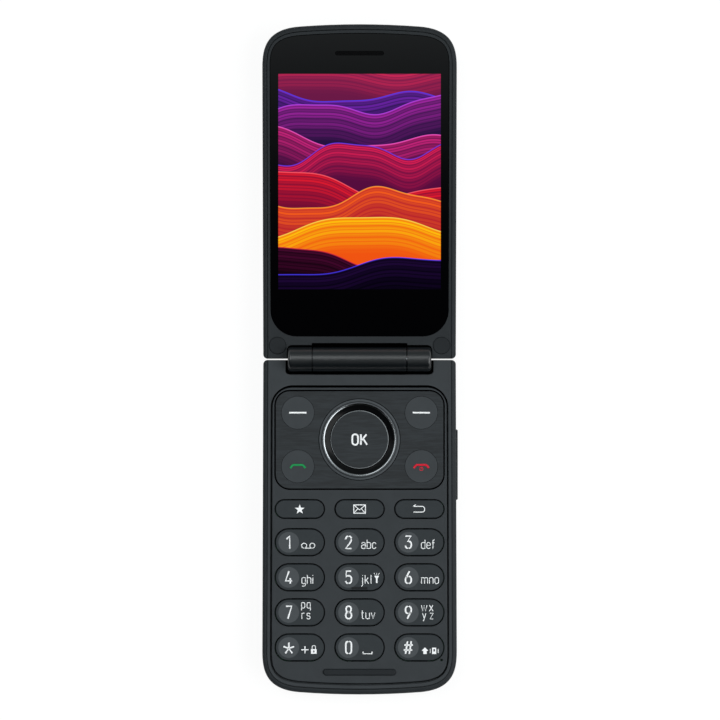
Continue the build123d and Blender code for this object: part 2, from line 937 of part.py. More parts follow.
# Dome sheet
jack_notch_x = jack_body_x + jack_body_length / 2 + pocket_clearance
with BuildPart() as dome_sheet:
    add(
        rounded_block(
            mat_mid_y,
            dome_film_bottom,
            2 * mat_half_width,
            mat_end - mat_start,
            dome_film,
            mat_corner,
        )
    )
    with BuildSketch(Plane.XY.offset(dome_film_bottom)):
        with Locations(*key_places.values(), (0, nav_centre_y)):
            RegularPolygon(dome_radius, dome_sides)
        with Locations((0, nav_centre_y)):
            with PolarLocations(ring_dome_radius, 4):
                RegularPolygon(dome_radius, dome_sides)
    extrude(amount=dome_film + dome_height)
    block(
        jack_notch_x - far / 2,
        jack_y,
        0,
        far,
        jack_body_width + 2 * pocket_clearance,
        far,
        Mode.SUBTRACT,
    )
save(dome_sheet, "dome_sheet")

# Main board with the parts soldered to it
with BuildPart() as main_board:
    add(leaf_block(-1, board_bottom, board_top, board_inset, board_start, board_corner))
    block(
        jack_notch_x - far / 2,
        jack_y,
        0,
        far,
        jack_body_width + 2 * pocket_clearance,
        far,
        Mode.SUBTRACT,
    )
    for x, y in screw_places:
        post(x, y, 0, boss_radius + pocket_clearance, far, Mode.SUBTRACT)
    block(microphone_x, microphone_y, board_top, microphone_width, microphone_length, microphone_height)
    block(
        connector_x,
        connector_y,
        board_bottom - connector_height,
        connector_width,
        connector_length,
        connector_height,
    )
    block(shield_x, end_parts_y, board_bottom - shield_height, shield_width, shield_length, shield_height)
save(main_board, "main_board")

# Battery
with BuildPart() as battery:
    add(
        rounded_block(
            bay_centre_y,
            cover_floor + battery_lift,
            battery_width,
            battery_length,
            battery_thickness,
            battery_corner,
        )
    )
save(battery, "battery")

# Card holder, a tray with a slot that faces the battery
with BuildPart() as card_holder:
    block(card_x, card_y, board_seat - card_height, card_width, card_length, card_height)
    with Locations((card_x, card_y, board_seat - card_height / 2)):
        with Locations((0, -card_length / 4, 0)):
            Box(card_slot_width, card_length, card_slot_height, mode=Mode.SUBTRACT)
save(card_holder, "card_holder")

# Loudspeaker
with BuildPart() as loudspeaker:
    with BuildSketch(Plane((speaker_x, end_parts_y, inner_floor + kissing))):
        RectangleRounded(speaker_length, speaker_width, speaker_round)
    extrude(amount=speaker_height)
save(loudspeaker, "loudspeaker")

# Vibration motor
with BuildPart() as vibration_motor:
    post(motor_x, motor_y, board_seat - motor_height - kissing, motor_radius, motor_height)
save(vibration_motor, "vibration_motor")

# Antenna, a thin folded strip under the rear housing
with BuildPart() as antenna:
    block(
        antenna_x,
        end_parts_y,
        inner_floor - antenna_thickness - kissing,
        antenna_width,
        antenna_length,
        antenna_thickness,
    )
    for shift in (-1, 1):
        block(
            antenna_x + shift * antenna_width / 5,
            end_parts_y + shift * antenna_slot,
            0,
            antenna_slot,
            antenna_length,
            far,
            Mode.SUBTRACT,
        )
save(antenna, "antenna")

# Audio jack, bored from its nose
jack_mouth_x = jack_wall_x + jack_sink
with BuildPart() as audio_jack:
    block(
        jack_body_x,
        jack_y,
        jack_height_z - jack_body_height / 2,
        jack_body_length,
        jack_body_width,
        jack_body_height,
    )
    nose_length = jack_body_x - jack_mouth_x
    with Locations((jack_mouth_x + nose_length / 2, jack_y, jack_height_z)):
        Cylinder(jack_nose, nose_length, rotation=(0, 90, 0))
    with Locations((jack_mouth_x, jack_y, jack_height_z)):
        Cylinder(jack_bore, 2 * jack_bore_length, rotation=(0, 90, 0), mode=Mode.SUBTRACT)
save(audio_jack, "audio_jack")

# Charging socket, a shell with a tongue
with BuildPart() as usb_port:
    with BuildSketch(Plane.XZ.offset(-usb_mouth_y)):
        with Locations((0, usb_centre_z)):
            SlotOverall(usb_width, usb_height)
    extrude(amount=-usb_length)
    with BuildSketch(Plane.XZ.offset(-usb_mouth_y)):
        with Locations((0, usb_centre_z)):
            SlotOverall(usb_width - 2 * usb_wall, usb_height - 2 * usb_wall)
    extrude(amount=-(usb_length - usb_back_wall), mode=Mode.SUBTRACT)
    with Locations((0, usb_mouth_y + usb_length - usb_back_wall - usb_tongue_length / 2, usb_centre_z)):
        Box(usb_tongue_width, usb_tongue_length, usb_tongue_thickness)
save(usb_port, "usb_port")

# Volume rocker and the small board with its two switches
rocker_inner_x = rocker_wall_x - rocker_skin - rocker_flange_gap
with BuildPart() as volume_rocker:
    with Locations(((rocker_inner_x + rocker_wall_x + rocker_rise) / 2, rocker_y, rocker_centre_z)):
        Box(rocker_wall_x + rocker_rise - rocker_inner_x, rocker_length, rocker_height)
    fillet(volume_rocker.edges().group_by(Axis.X)[-1], rocker_round)
    with Locations((rocker_inner_x - rocker_flange / 2, rocker_y, rocker_centre_z)):
        Box(
            rocker_flange,
            rocker_length + 2 * rocker_flange_extra,
            rocker_height + 2 * rocker_flange_extra,
        )
save(volume_rocker, "volume_rocker")

switch_face_x = rocker_inner_x - rocker_flange - switch_gap
switch_board_x = rocker_wall_x - switch_pocket_depth + kissing + switch_board_thickness / 2
with BuildPart() as volume_switches:
    with Locations((switch_board_x, rocker_y, rocker_centre_z)):
        Box(
            switch_board_thickness,
            rocker_length + 2 * rocker_flange_extra,
            rocker_height + 2 * rocker_flange_extra,
        )
        for shift in (-switch_spread, switch_spread):
            with Locations(((switch_face_x - switch_board_x) / 2, shift, 0)):
                Box(switch_face_x - switch_board_x, switch_length, switch_height)
save(volume_switches, "volume_switches")

# Screws of the base
with BuildPart() as base_screws:
    for x, y in screw_places:
        post(x, y, screw_seat - screw_head_height, screw_head_radius, screw_head_height)
        post(x, y, screw_seat, screw_radius, screw_length)
save(base_screws, "base_screws")

# Centre barrel of the hinge, on the base
with BuildPart() as hinge_barrel:
    roll(-barrel_half, barrel_half, barrel_radius)
    foot_length = base_notch_depth - kissing - foot_margin
    block(
        0,
        -foot_margin - foot_length / 2,
        notch_floor + kissing,
        2 * (barrel_half - foot_margin),
        foot_length,
        foot_height,
    )
    roll(-barrel_half, barrel_half, pivot_bore, Mode.SUBTRACT)
save(hinge_barrel, "hinge_barrel")

# Spring unit of the hinge, held in the centre barrel
core_radius = pivot_bore - pivot_clearance
with BuildPart() as hinge_spring_unit:
    roll(spring_unit_start, barrel_half, core_radius)
    roll(
        barrel_half - spigot_length - pivot_clearance,
        far,
        spigot_radius + pivot_clearance,
        Mode.SUBTRACT,
    )
save(hinge_spring_unit, "hinge_spring_unit")

# Cam of the hinge, turning with the flip
with BuildPart() as hinge_cam:
    roll(knuckle_start, knuckle_bore_end - kissing, core_radius)
    roll(barrel_half - spigot_length, knuckle_start, spigot_radius)
save(hinge_cam, "hinge_cam")

# Bush on the other side, hollow for the flex
with BuildPart() as hinge_bush:
    roll(-knuckle_bore_end + kissing, -barrel_half + bush_reach, core_radius)
    roll(-far, 0, bush_bore, Mode.SUBTRACT)
save(hinge_bush, "hinge_bush")

# Flex between the halves, rolled up inside the bush
with BuildPart() as hinge_flex:
    flex_low = flex_end_gap - knuckle_bore_end
    roll(flex_low, flex_low + flex_length, flex_radius)
    roll(flex_low, flex_low + flex_length, flex_radius - flex_thickness, Mode.SUBTRACT)
    with Locations((0, 0, hinge_z + flex_radius)):
        Box(far, flex_slit, flex_radius, mode=Mode.SUBTRACT)
save(hinge_flex, "hinge_flex")


def knuckle(side):
    """Outer knuckle of the hinge, solid, with its outer end rounded."""
    with BuildPart() as rounded:
        roll(side * knuckle_start, side * knuckle_end, barrel_radius)
        fillet(rounded.faces().sort_by(Axis.X)[-1 if side > 0 else 0].edges(), knuckle_round)
    return rounded.part


# Front frame of the flip, with the outer knuckles of the hinge
with BuildPart() as flip_front_frame:
    add(leaf_block(1, flip_frame_under, base_thickness, rim_inset + seam, corner=rim_chamfer))
    chamfer(flip_front_frame.edges().group_by(Axis.Z)[-1], rim_chamfer)
    add(notch(1, flip_notch_half, flip_notch_depth, 0), mode=Mode.SUBTRACT)
    block(0, 0, 0, 2 * knuckle_start, 2 * flip_notch_centre_depth, far, Mode.SUBTRACT)
    add(leaf_block(1, lens_under - kissing, far, lens_inset, lens_start, lens_corner), mode=Mode.SUBTRACT)
    block(
        0,
        screen_y,
        screen_bottom - kissing,
        screen_breadth + 2 * kissing,
        screen_length + 2 * kissing,
        far,
        Mode.SUBTRACT,
    )
    block(
        0,
        earpiece_y,
        lens_under - 2 * kissing - earpiece_height,
        earpiece_length + 2 * kissing,
        earpiece_width + 2 * kissing,
        far,
        Mode.SUBTRACT,
    )
    for side in (-1, 1):
        post(
            side * screw_cover_x,
            screw_cover_y,
            base_thickness - screw_cover_depth - kissing,
            screw_cover_radius + 2 * kissing,
            far,
            Mode.SUBTRACT,
        )
        head_seat = base_thickness - screw_cover_depth - 2 * kissing - screw_head_height
        post(
            side * screw_cover_x,
            screw_cover_y,
            head_seat - kissing,
            screw_head_radius + pocket_clearance,
            far,
            Mode.SUBTRACT,
        )
        post(side * screw_cover_x, screw_cover_y, 0, screw_radius + pocket_clearance, far, Mode.SUBTRACT)
        block(
            side * (knuckle_start + knuckle_end) / 2,
            flip_notch_depth / 2,
            web_bottom,
            knuckle_end - knuckle_start,
            flip_notch_depth,
            web_top - web_bottom,
        )
        add(knuckle(side))
    for side in (-1, 1):
        roll(side * barrel_half, side * knuckle_bore_end, pivot_bore, Mode.SUBTRACT)
save(flip_front_frame, "flip_front_frame")

# Outer cover of the flip
camera_window_bottom = flip_back_z - camera_ring_rise + camera_window_sink
with BuildPart() as flip_outer_cover:
    add(flip_body)
    add(leaf_block(1, flip_frame_under - kissing, far, rim_inset, -leaf_gap), mode=Mode.SUBTRACT)
    add(
        leaf_block(1, flip_floor_top, far, flip_cavity_inset, flip_cavity_start, hinge_corner_radius),
        mode=Mode.SUBTRACT,
    )
    add(
        rounded_block(
            window_y,
            0,
            window_width + 2 * window_gap,
            window_length + 2 * window_gap,
            flip_back_z + window_thickness + kissing,
            window_corner + window_gap,
        ),
        mode=Mode.SUBTRACT,
    )
    add(
        rounded_block(
            window_y,
            0,
            window_width - 2 * window_ledge,
            window_length - 2 * window_ledge,
            far,
            window_corner - window_ledge,
        ),
        mode=Mode.SUBTRACT,
    )
    post(0, camera_y, flip_back_z - camera_ring_rise, camera_ring_radius, camera_ring_rise)
    camera_pocket_top = camera_window_bottom + camera_window_thickness + kissing
    post(0, camera_y, 0, camera_window_radius + window_gap, camera_pocket_top, Mode.SUBTRACT)
    post(0, camera_y, 0, camera_barrel_radius + window_gap, far, Mode.SUBTRACT)
    post(flash_x, camera_y, 0, flash_radius + kissing, far, Mode.SUBTRACT)
    for side in (-1, 1):
        post(
            side * screw_cover_x,
            screw_cover_y,
            head_seat - flip_screw_length - kissing,
            screw_radius + kissing,
            far,
            Mode.SUBTRACT,
        )
save(flip_outer_cover, "flip_outer_cover")

# Screen glass, with the earpiece slot
with BuildPart() as screen_glass:
    add(
        leaf_block(
            1,
            lens_under,
            base_thickness - lens_sink,
            lens_inset + lens_gap,
            lens_start + lens_gap,
            lens_corner - lens_gap,
        )
    )
    chamfer(screen_glass.edges().group_by(Axis.Z)[-1], lens_chamfer)
    add(
        slot_block(0, earpiece_y, 0, earpiece_slot_length, earpiece_slot_width, far),
        mode=Mode.SUBTRACT,
    )
save(screen_glass, "screen_glass")

# Earpiece and its mesh
with BuildPart() as earpiece:
    block(
        0,
        earpiece_y,
        lens_under - kissing - earpiece_height,
        earpiece_length,
        earpiece_width,
        earpiece_height,
    )
save(earpiece, "earpiece")

with BuildPart() as earpiece_mesh:
    add(
        slot_block(
            0,
            earpiece_y,
            base_thickness - lens_sink - mesh_sink - mesh_thickness,
            earpiece_slot_length - 2 * kissing,
            earpiece_slot_width - 2 * kissing,
            mesh_thickness,
        )
    )
save(earpiece_mesh, "earpiece_mesh")

# Display module
with BuildPart() as display_module:
    block(0, screen_y, screen_bottom, screen_breadth, screen_length, screen_thickness)
save(display_module, "display_module")

# Covers over the two flip screws, and the screws
with BuildPart() as screw_covers:
    for side in (-1, 1):
        post(
            side * screw_cover_x,
            screw_cover_y,
            base_thickness - screw_cover_depth,
            screw_cover_radius,
            screw_cover_depth + screw_cover_rise,
        )
    chamfer(screw_covers.edges().group_by(Axis.Z)[-1], screw_cover_chamfer)
save(screw_covers, "screw_covers")

with BuildPart() as flip_screws:
    for side in (-1, 1):
        post(side * screw_cover_x, screw_cover_y, head_seat, screw_head_radius, screw_head_height)
        tip = head_seat - flip_screw_length
        post(side * screw_cover_x, screw_cover_y, tip, screw_radius, flip_screw_length)
save(flip_screws, "flip_screws")

# Board of the flip
with BuildPart() as flip_board:
    block(
        0,
        (flip_board_start + flip_board_end) / 2,
        flip_board_bottom,
        2 * flip_board_half_width,
        flip_board_end - flip_board_start,
        flip_board_thickness,
    )
save(flip_board, "flip_board")

# Outer display and its window
with BuildPart() as outer_display:
    block(0, window_y, outer_screen_bottom, window_width, window_length, outer_screen_thickness)
save(outer_display, "outer_display")

with BuildPart() as outer_window:
    add(rounded_block(window_y, flip_back_z, window_width, window_length, window_thickness, window_corner))
save(outer_window, "outer_window")

# Camera, its window and the flash lens
with BuildPart() as camera_module:
    block(
        0,
        camera_y,
        flip_floor_top + kissing,
        camera_size,
        camera_size,
        flip_frame_under - flip_floor_top - 2 * kissing,
    )
    camera_pocket = camera_window_bottom + camera_window_thickness + 2 * kissing
    post(0, camera_y, camera_pocket, camera_barrel_radius, flip_frame_under - kissing - camera_pocket)
save(camera_module, "camera_module")

with BuildPart() as camera_window:
    post(0, camera_y, camera_window_bottom, camera_window_radius, camera_window_thickness)
save(camera_window, "camera_window")

with BuildPart() as flash_lens:
    post(flash_x, camera_y, flip_back_z, flash_radius, flip_floor)
save(flash_lens, "flash_lens")
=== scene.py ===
"""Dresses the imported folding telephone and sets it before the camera.

The CAD nodes keep their shapes and get procedural finishes. The printed signs of the keys are added as
thin ink, and the screen shows a plain landscape of waves. Sizes are in millimetres unless a name says
otherwise, and MM turns them into the frame's metres.
"""

from __future__ import annotations

import logging
import math
import sys
from dataclasses import dataclass
from enum import Enum
from typing import Any, Optional, Sequence, Union

import bpy
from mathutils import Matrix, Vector

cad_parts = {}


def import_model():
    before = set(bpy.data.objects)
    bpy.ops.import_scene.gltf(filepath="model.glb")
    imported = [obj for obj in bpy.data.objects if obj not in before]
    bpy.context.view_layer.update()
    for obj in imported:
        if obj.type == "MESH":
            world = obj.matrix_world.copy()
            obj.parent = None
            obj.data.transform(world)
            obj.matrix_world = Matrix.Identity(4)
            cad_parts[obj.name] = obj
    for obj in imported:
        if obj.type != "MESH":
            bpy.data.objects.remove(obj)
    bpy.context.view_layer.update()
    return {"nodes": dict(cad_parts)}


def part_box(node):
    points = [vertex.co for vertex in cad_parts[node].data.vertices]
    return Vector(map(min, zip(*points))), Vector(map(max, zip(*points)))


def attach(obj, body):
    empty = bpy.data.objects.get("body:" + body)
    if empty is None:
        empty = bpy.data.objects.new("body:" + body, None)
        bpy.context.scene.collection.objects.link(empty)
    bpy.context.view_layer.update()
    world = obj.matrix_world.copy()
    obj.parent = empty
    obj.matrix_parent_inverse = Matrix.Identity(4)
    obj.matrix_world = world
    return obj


log = logging.getLogger("telephone")

MM = 0.001

Colour = tuple[float, float, float, float]
Spot = tuple[float, float]
Place = tuple[float, float, float]
Box = tuple[Place, Place]
Screen = tuple[int, int, int]
Name = Union[int, str]
Input = Union["Signal", float, Colour, Place]
Sockets = dict[str, Input]


def colour(*parts: int) -> Colour:
    """Turns a screen colour into the linear one that a shader takes.

    Args:
        *parts: Its red, green and blue, 0 to 255.

    Returns:
        The linear colour, with full opacity.
    """
    shares = [part / 255 for part in parts]
    linear = [share / 12.92 if share <= 0.04045 else ((share + 0.055) / 1.055) ** 2.4 for share in shares]
    return (*linear, 1.0)


BLACK = (0.0, 0.0, 0.0, 1.0)
WHITE = (1.0, 1.0, 1.0, 1.0)
# Near-black painted shade for gaps and notches, standing in for the shade that falls there.
PAINTED_SHADE_TONE = (0.001, 0.001, 0.001, 1.0)


class Tone(Enum):
    """Colours of the plastics, lacquers and inks."""

    HOUSING = colour(51, 55, 58)
    REAR = colour(33, 37, 40)
    FLIP_FRAME = colour(32, 36, 39)
    FLIP_COVER = colour(29, 33, 36)
    PANEL = colour(48, 52, 55)
    PLATE = colour(37, 41, 44)
    KEY = colour(43, 48, 51)
    FIELD = colour(69, 73, 76)
    CORNER_KEY = colour(54, 58, 61)
    SIDE_KEY = colour(38, 41, 44)
    RING_SLOPE = colour(9, 10, 11)
    RING_RIM = colour(71, 75, 78)
    RING_CREST = colour(168, 172, 175)
    BARREL = colour(2, 8, 12)
    BUMPER = colour(28, 32, 35)
    SCREW_COVER = colour(25, 29, 32)
    MARK = colour(18, 20, 22)
    SLOT = colour(6, 6, 7)
    GLASS = colour(2, 2, 3)
    WINDOW = colour(5, 5, 6)
    FLASH = colour(190, 186, 170)
    WHITE = colour(250, 251, 252)
    GREEN = colour(0, 140, 72)
    RED = colour(208, 8, 42)
    STEEL = colour(170, 172, 175)
    COPPER = colour(190, 120, 80)
    BOARD = colour(12, 60, 40)
    TRACK = colour(30, 96, 62)
    BATTERY = colour(34, 36, 40)
    KEY_MAT = colour(24, 26, 28)
    DARK = colour(28, 30, 32)


class Signal:
    """An output of a shader graph that can stand in sums and products."""

    def __init__(self, graph: Graph, socket: bpy.types.NodeSocket) -> None:
        """Keeps the socket and the graph that it belongs to."""
        self.graph = graph
        self.socket = socket

    def _math(self, operation: str, first: Input, second: Input = 0.0) -> Signal:
        """One Math node on two values."""
        return self.graph.node("ShaderNodeMath", {"operation": operation}, {0: first, 1: second})

    def __add__(self, other: Input) -> Signal:
        """Sum."""
        return self._math("ADD", self, other)

    def __radd__(self, other: Input) -> Signal:
        """Sum, from the right."""
        return self._math("ADD", other, self)

    def __sub__(self, other: Input) -> Signal:
        """Difference."""
        return self._math("SUBTRACT", self, other)

    def __rsub__(self, other: Input) -> Signal:
        """Difference, from the right."""
        return self._math("SUBTRACT", other, self)

    def __mul__(self, other: Input) -> Signal:
        """Product."""
        return self._math("MULTIPLY", self, other)

    def __rmul__(self, other: Input) -> Signal:
        """Product, from the right."""
        return self._math("MULTIPLY", other, self)

    def __pow__(self, other: Input) -> Signal:
        """Power."""
        return self._math("POWER", self, other)

    def sine(self) -> Signal:
        """Sine of an angle in radians."""
        return self._math("SINE", self)

    def fraction(self) -> Signal:
        """What is left after the whole number below."""
        return self._math("FRACT", self)

    def largest(self, other: Input) -> Signal:
        """The larger of two values."""
        return self._math("MAXIMUM", self, other)

    def smallest(self, other: Input) -> Signal:
        """The smaller of two values."""
        return self._math("MINIMUM", self, other)

    def distance(self) -> Signal:
        """Value without its sign."""
        return self._math("ABSOLUTE", self)

    def span(self, other: Signal) -> Signal:
        """Length of the way that goes this far one way and that far across it."""
        return (self * self + other * other) ** 0.5

    def ramp(self, low: float, high: float, smooth: bool = True) -> Signal:
        """Rises from 0 at low to 1 at high, and stays there.

        Args:
            low: Value at which it is 0.
            high: Value at which it is 1.
            smooth: Whether the rise is eased at both ends.

        Returns:
            The clamped value.
        """
        settings = {"interpolation_type": "SMOOTHSTEP" if smooth else "LINEAR", "clamp": True}
        return self.graph.node("ShaderNodeMapRange", settings, {0: self, 1: low, 2: high, 3: 0.0, 4: 1.0})

    def band(self, low: float, high: float, rise: float, fall: float) -> Signal:
        """Mask of the values between two.

        Args:
            low: Value at which it leaves 0.
            high: Value at which it is back at 0.
            rise: Width of its rise after low.
            fall: Width of its fall before high.

        Returns:
            The mask.
        """
        return self.ramp(low, low + rise) * (1 - self.ramp(high - fall, high))


class Graph:
    """Shader graph of one material or of the world."""

    def __init__(self, owner: Union[bpy.types.Material, bpy.types.World]) -> None:
        """Empties the owner's graph."""
        owner.use_nodes = True
        self.owner = owner
        self.tree = owner.node_tree
        self.tree.nodes.clear()

    def node(self, kind: str, settings: dict[str, Any], inputs: dict[Name, Input], output: Name = 0) -> Signal:
        """Adds a node.

        Args:
            kind: The node's type.
            settings: Properties that are set before the sockets.
            inputs: Values and links of its sockets, by number or name.
            output: Number or name of the output that is returned.

        Returns:
            That output, or the first input of a node without outputs.
        """
        made = self.tree.nodes.new(kind)
        for name, value in settings.items():
            setattr(made, name, value)
        for key, value in inputs.items():
            if isinstance(value, Signal):
                self.tree.links.new(value.socket, made.inputs[key])
            else:
                made.inputs[key].default_value = value
        return Signal(self, made.outputs[output] if len(made.outputs) else made.inputs[0])

    def split(self, place: Signal, axis: str) -> Signal:
        """One axis of a place or direction."""
        return self.node("ShaderNodeSeparateXYZ", {}, {0: place}, output=axis)

    def place(self) -> Signal:
        """Place on the object, in metres of the frame."""
        return self.node("ShaderNodeTexCoord", {}, {}, output="Object")

    def axis(self, name: str) -> Signal:
        """Place on the object along X, Y or Z, in millimetres."""
        return self.split(self.place(), name) * (1 / MM)

    def around(self, middle: Spot) -> tuple[Signal, Signal]:
        """Place on the object across and along from a point, in millimetres."""
        return self.axis("X") - middle[0], self.axis("Y") - middle[1]

    def noise(self, width: Union[float, Place], detail: float = 2.0) -> Signal:
        """Soft noise around 0.5.

        Args:
            width: Size of its blots, or their size along X, Y and Z.
            detail: Number of finer layers in it.

        Returns:
            The noise.
        """
        sizes = width if isinstance(width, tuple) else (width, width, width)
        scale = tuple(1 / (size * MM) for size in sizes)
        spread = self.node("ShaderNodeMapping", {}, {0: self.place(), "Scale": scale})
        return self.node("ShaderNodeTexNoise", {}, {"Vector": spread, "Scale": 1.0, "Detail": detail})

    def blend(self, mask: Input, low: Input, high: Input) -> Signal:
        """Colour that goes from low to high as mask goes from 0 to 1."""
        sockets = {0: mask, 6: low, 7: high}
        return self.node("ShaderNodeMix", {"data_type": "RGBA"}, sockets, output=2)

    def shades(self, mask: Signal, tone: Colour, low: float, high: float) -> Signal:
        """A tone made low times as bright where mask is 0, and high times where it is 1.

        Args:
            mask: The mask.
            tone: The tone.
            low: Its factor where mask is 0.
            high: Its factor where mask is 1.

        Returns:
            The colour.
        """
        dim, bright = (tuple(part * factor for part in tone[:3]) + (1.0,) for factor in (low, high))
        return self.blend(mask, dim, bright)

    def within(self, box: Box, corner: float = 0.3, soft: float = 0.1) -> Signal:
        """Mask of an upright box.

        Args:
            box: Its lowest and its highest corner, in millimetres.
            corner: Radius of its upright edges.
            soft: Width of the mask's edges.

        Returns:
            The mask.
        """
        low, high = box
        sides = []
        for name, start, end in (("X", low[0], high[0]), ("Y", low[1], high[1])):
            beyond = (self.axis(name) - (start + end) / 2).distance() - ((end - start) / 2 - corner)
            sides.append(beyond.largest(0.0))
        plan = 1 - sides[0].span(sides[1]).ramp(corner - soft, corner)
        return plan * self.axis("Z").band(low[2], high[2], soft, soft)

    def painted_shade_below(self, below: Optional[float], soft: float = 0.12) -> Input:
        """Mask of what lies under a height, painted as shade where a narrow gap lets no light in.

        Args:
            below: The height, or None where there is no gap.
            soft: Width of the mask's edge.

        Returns:
            The mask.
        """
        return 0.0 if below is None else 1 - self.axis("Z").ramp(below - soft, below)

    def relief(self, height: Signal, depth: float) -> Signal:
        """Normal of a surface whose height goes from 0 to depth, in millimetres."""
        return self.node("ShaderNodeBump", {}, {"Strength": 1.0, "Distance": depth * MM, "Height": height})


@dataclass(frozen=True)
class Finish:
    """A named finish with one main colour."""

    name: str
    tone: Colour

    def sockets(self, graph: Graph) -> Sockets:
        """Values of the surface shader's sockets, by name."""
        raise NotImplementedError

    def material(self) -> bpy.types.Material:
        """Makes the material.

        Returns:
            A new one each time.
        """
        graph = Graph(bpy.data.materials.new(self.name))
        shader = graph.node("ShaderNodeBsdfPrincipled", {}, self.sockets(graph))
        graph.node("ShaderNodeOutputMaterial", {}, {0: shader})
        return graph.owner


@dataclass(frozen=True)
class Surface(Finish):
    """A finish whose colour, gloss and relief follow one fine pattern."""

    roughness: float = 0.5
    unevenness: float = 0.1
    gloss: float = 0.5
    darkest: float = 0.95
    lightest: float = 1.0
    depth: float = 0.0
    # Height under which the colour is painted shade, or None.
    gap: Optional[float] = None

    def pattern(self, graph: Graph) -> Signal:
        """The pattern, from 0 to 1."""
        raise NotImplementedError

    def tint(self, graph: Graph, pattern: Signal) -> Signal:
        """Colour along the pattern."""
        return graph.shades(pattern, self.tone, self.darkest, self.lightest)

    def shadow(self, graph: Graph) -> Input:
        """Mask of the painted shade, where no light reaches."""
        return graph.painted_shade_below(self.gap)

    def height(self, graph: Graph, pattern: Signal) -> Signal:
        """Height of the relief, from 0 to 1."""
        return pattern

    def sockets(self, graph: Graph) -> Sockets:
        """Values along the pattern, and painted shade where no light reaches.

        Args:
            graph: The material's graph.

        Returns:
            The sockets' values.
        """
        pattern = self.pattern(graph)
        shadow = self.shadow(graph)
        # Under the gap height the colour is painted shade: near black, and metallic so that it reflects
        # nothing.
        found = {
            "Base Color": graph.blend(shadow, self.tint(graph, pattern), PAINTED_SHADE_TONE),
            "Metallic": shadow,
            "Roughness": self.roughness + (pattern - 0.5) * self.unevenness,
            "Specular IOR Level": self.gloss,
        }
        if self.depth:
            found["Normal"] = graph.relief(self.height(graph, pattern), self.depth)
        return found


@dataclass(frozen=True)
class Moulding(Surface):
    """Matt moulded plastic or rubber with a fine spark-eroded grain."""

    roughness: float = 0.62
    unevenness: float = 0.16
    gloss: float = 0.22
    lightest: float = 1.05
    depth: float = 0.0025
    grain: float = 0.22
    cloud: float = 5.0

    def pattern(self, graph: Graph) -> Signal:
        """Grain, from 0 to 1."""
        return graph.noise(self.grain, detail=3.0)

    def tint(self, graph: Graph, pattern: Signal) -> Signal:
        """Colour of the plastic, a little uneven."""
        return super().tint(graph, graph.noise(self.cloud, detail=3.0).ramp(0.3, 0.7))


@dataclass(frozen=True)
class NumberKeyPlastic(Moulding):
    """Plastic of the number keys, each with a lighter round field printed under its number."""

    field_tone: Colour = Tone.FIELD.value
    field_inner: float = 3.03
    field_outer: float = 3.17
    field_start: Spot = (0.0, 0.0)
    field_pitch: Spot = (1.0, 1.0)
    mark_tone: Colour = Tone.MARK.value
    mark_top: float = 0.0

    def tint(self, graph: Graph, pattern: Signal) -> Signal:
        """Plastic, the printed field and the dark raised mark of the middle key.

        Args:
            graph: The material's graph.
            pattern: The grain, from 0 to 1.

        Returns:
            The colour.
        """
        places = zip(graph.around(self.field_start), self.field_pitch)
        right, up = (((place * (1 / pitch) + 0.5).fraction() - 0.5) * pitch for place, pitch in places)
        inside = 1 - right.span(up).ramp(self.field_inner, self.field_outer)
        printed = graph.blend(inside, super().tint(graph, pattern), self.field_tone)
        raised = graph.axis("Z").ramp(self.mark_top, self.mark_top + 0.05)
        return graph.blend(raised, printed, self.mark_tone)


@dataclass(frozen=True)
class HingedMoulding(Moulding):
    """Matt plastic of a half with painted shade in the notch around the barrel, and lacquered knuckles or
    none.
    """

    notch: Box = ((0.0, 0.0, 0.0), (0.0, 0.0, 0.0))
    notch_corner: float = 1.0
    seat: Optional[Box] = None
    seat_corner: float = 6.4
    knuckles: Optional[Box] = None
    lacquer: Colour = Tone.BARREL.value
    lacquer_roughness: float = 0.34
    lacquer_fill: float = 0.8

    def shadow(self, graph: Graph) -> Input:
        """Mask of the painted shade in the notch around the barrel and on the seat around the panel."""
        notch = graph.within(self.notch, self.notch_corner)
        return notch.largest(graph.within(self.seat, self.seat_corner)) if self.seat else notch

    def height(self, graph: Graph, pattern: Signal) -> Signal:
        """Height of the grain, which the lacquer fills on the knuckles."""
        return pattern * (1 - self.lacquer_fill * graph.within(self.knuckles)) if self.knuckles else pattern

    def sockets(self, graph: Graph) -> Sockets:
        """Plastic, and lacquer on the knuckles.

        Args:
            graph: The material's graph.

        Returns:
            The sockets' values.
        """
        plain = super().sockets(graph)
        if self.knuckles is None:
            return plain
        turned = graph.within(self.knuckles)
        return {
            **plain,
            "Base Color": graph.blend(turned, plain["Base Color"], self.lacquer),
            "Metallic": plain["Metallic"] * (1 - turned),
            "Roughness": plain["Roughness"] + turned * (self.lacquer_roughness - self.roughness),
            "Coat Weight": turned,
            "Coat Roughness": self.lacquer_roughness,
        }


@dataclass(frozen=True)
class BrushedCoat(Surface):
    """Painted plastic with fine brush lines across the telephone."""

    roughness: float = 0.6
    unevenness: float = 0.2
    gloss: float = 0.25
    darkest: float = 0.7
    lightest: float = 1.3
    depth: float = 0.004
    line_size: Place = (4.0, 0.34, 30.0)
    broad_size: Place = (12.0, 1.36, 30.0)

    def pattern(self, graph: Graph) -> Signal:
        """Brush lines, from 0 to 1."""
        fine = graph.noise(self.line_size, detail=3.0)
        return 0.6 * fine + 0.4 * graph.noise(self.broad_size, detail=1.0)

    def tint(self, graph: Graph, pattern: Signal) -> Signal:
        """Colour of the coat along the lines."""
        return super().tint(graph, pattern.ramp(0.32, 0.68))


